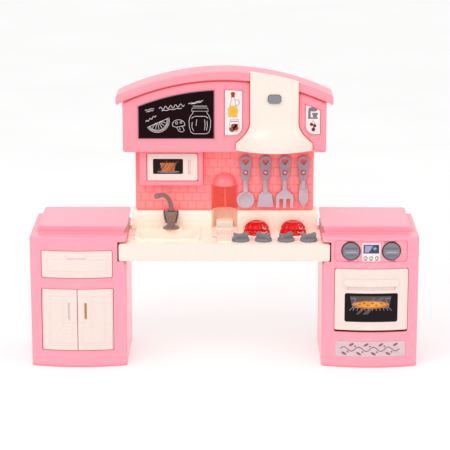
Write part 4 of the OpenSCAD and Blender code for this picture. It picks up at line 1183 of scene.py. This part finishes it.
spots = [(-17, 0.5), (-10, 2.6), (-4, -0.8), (3, 2.4), (9, -0.6), (16, 1.6)]
rack = [[(-31, 10), (-23, 10), (-28, -5), (-33, -9.5), (33, -9.5), (28, -5), (23, 10), (31, 10)],
        [(-28, -5), (-18, -5)], [(18, -5), (28, -5)]]
rack += [[(x, -9.5), (x * 0.94, -6)] for x in range(-27, 30, 6)]
streaks = [slant(x + 1.6 * k, -15.5, 12, 27) for x, count in ((-22, 3), (-12, 5)) for k in range(count)]
fill, draw = picture(FRONT + 0.62 * MM, "oven_door", RIGHT_X, at=(FILM_X, 102))
fill("oven_glow", [[(-32, 13.5), (32, 13.5), (29, -2), (-29, -2)]], SMOKE)
fill("oven_pizza", [oval_points(0, 0, 29, 6.4, 32)], CRUST, 0.1)
fill("oven_topping", [oval_points(0, 0.6, 24.5, 4.3, 28)], CHEESE, 0.2)
fill("oven_spots", [oval_points(x, z, 2.2, 0.8, 12) for x, z in spots], BROWN, 0.3)
draw("oven_rack", rack, 0.42, WIRE, 0.1, flat=0.4)
draw("oven_streaks", streaks, 0.3, STONE, 0.35, flat=0.3)

# %% Microwave window picture
MEAL_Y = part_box("microwave_window")[0].y - 0.02 * MM
fill, draw = picture(MEAL_Y, "microwave_door", at=(-88, 292))
fill("microwave_plate", [oval_points(0, -0.2, 18, 1.9)], STONE)
fill("microwave_meal", [[(-10, 1), (9, 1), (12, 14), (-13, 14)]], CRUST, 0.08)
draw("microwave_steam", [slant(-11 + 5 * k, 2, 16, 9) for k in range(4)], 0.5, BROWN, 0.15, flat=0.4)
draw("microwave_streaks", [slant(-18 + 3 * k, -1, 18, 14) for k in (0, 1, 6, 7)], 0.3, SMOKE, 0.2, flat=0.4)
print("window pictures:", named("oven_"), named("microwave_"))

# %% [markdown]
# ## Control screen and name plate
# The control label has a small screen over three round icons. The name plate has a garland of leaves and
# dots in place of any words.

# %% Control screen
ICON_GAP = 8.6
icon = [closed(arc(0, 0, 2.5, 0, 330, 11)), [(0, 0), (1.4, 1.8)], [(-2.4, -3.6), (2.4, -3.6)]]
icons = [moved(line, (dx, 176.6)) for dx in (-ICON_GAP, 0, ICON_GAP) for line in icon]
lit = [[(-10, 196), (3, 196), (-4, 185.4), (-10, 185.4)], oval_points(5.5, 191.5, 2.6, 2.2, 12)]
fill, draw = picture(FRONT + 0.78 * MM, "kitchen", RIGHT_X, at=(RIGHT_X / MM, 0))
fill("control_screen", [box_points(-12, 12, 183.8, 197.6)], NAVY)
fill("control_glow", lit, SKY, 0.08)
draw("control_icons", icons, 0.42, OUTLINE, -0.02)

# %% Name plate garland
LEAF_GAP = 11.4
leaves = [oval_points(LEAF_GAP * k - 40, up * 7.2, 4.4, 1.9, 14, tilt=up * 0.5)
          for k, up in enumerate([-1, 1] * 4)]
dots = [oval_points(LEAF_GAP * k - 34.3, (4.6 if k % 2 else -4.6), 1.5, 1.5, 12) for k in range(7)]
fill, draw = picture(FRONT + 0.38 * MM, "kitchen", RIGHT_X, at=(FILM_X, 30))
draw("plate_vine", [wave((-46, 0), (46, 0), 3.4, 4, 64)], 0.75, MAUVE, flat=0.4)
fill("plate_leaves", leaves + dots, MAUVE)

# %% [markdown]
# ## Materials of the CAD nodes that stay
# The inner parts, the screws and the films keep their CAD shape, and take the finish of their slot.

# %% Finishes by slot
BY_SLOT = {"pink_plastic": ROSE, "coral_plastic": CORAL, "cream_plastic": IVORY, "grey_plastic": GREY,
           "taupe_plastic": TAUPE, "lilac_plastic": LILAC, "red_plastic": RED, "dark_print": GLASS,
           "pale_print": PAPER, "steel": STEEL}
SPECIAL = {"blackboard": BOARD, "name_label": PLATE, "left_cabinet_back": PINK, "left_cabinet_base": PINK,
           "right_cabinet_back": PINK, "right_cabinet_base": PINK}
for name, node in frame["nodes"].items():
    node.data.materials.clear()
    node.data.materials.append(SPECIAL.get(name) or BY_SLOT[slot_of[name]])
print("nodes with a finish:", len(frame["nodes"]))

# %% Finish
select_only(None)
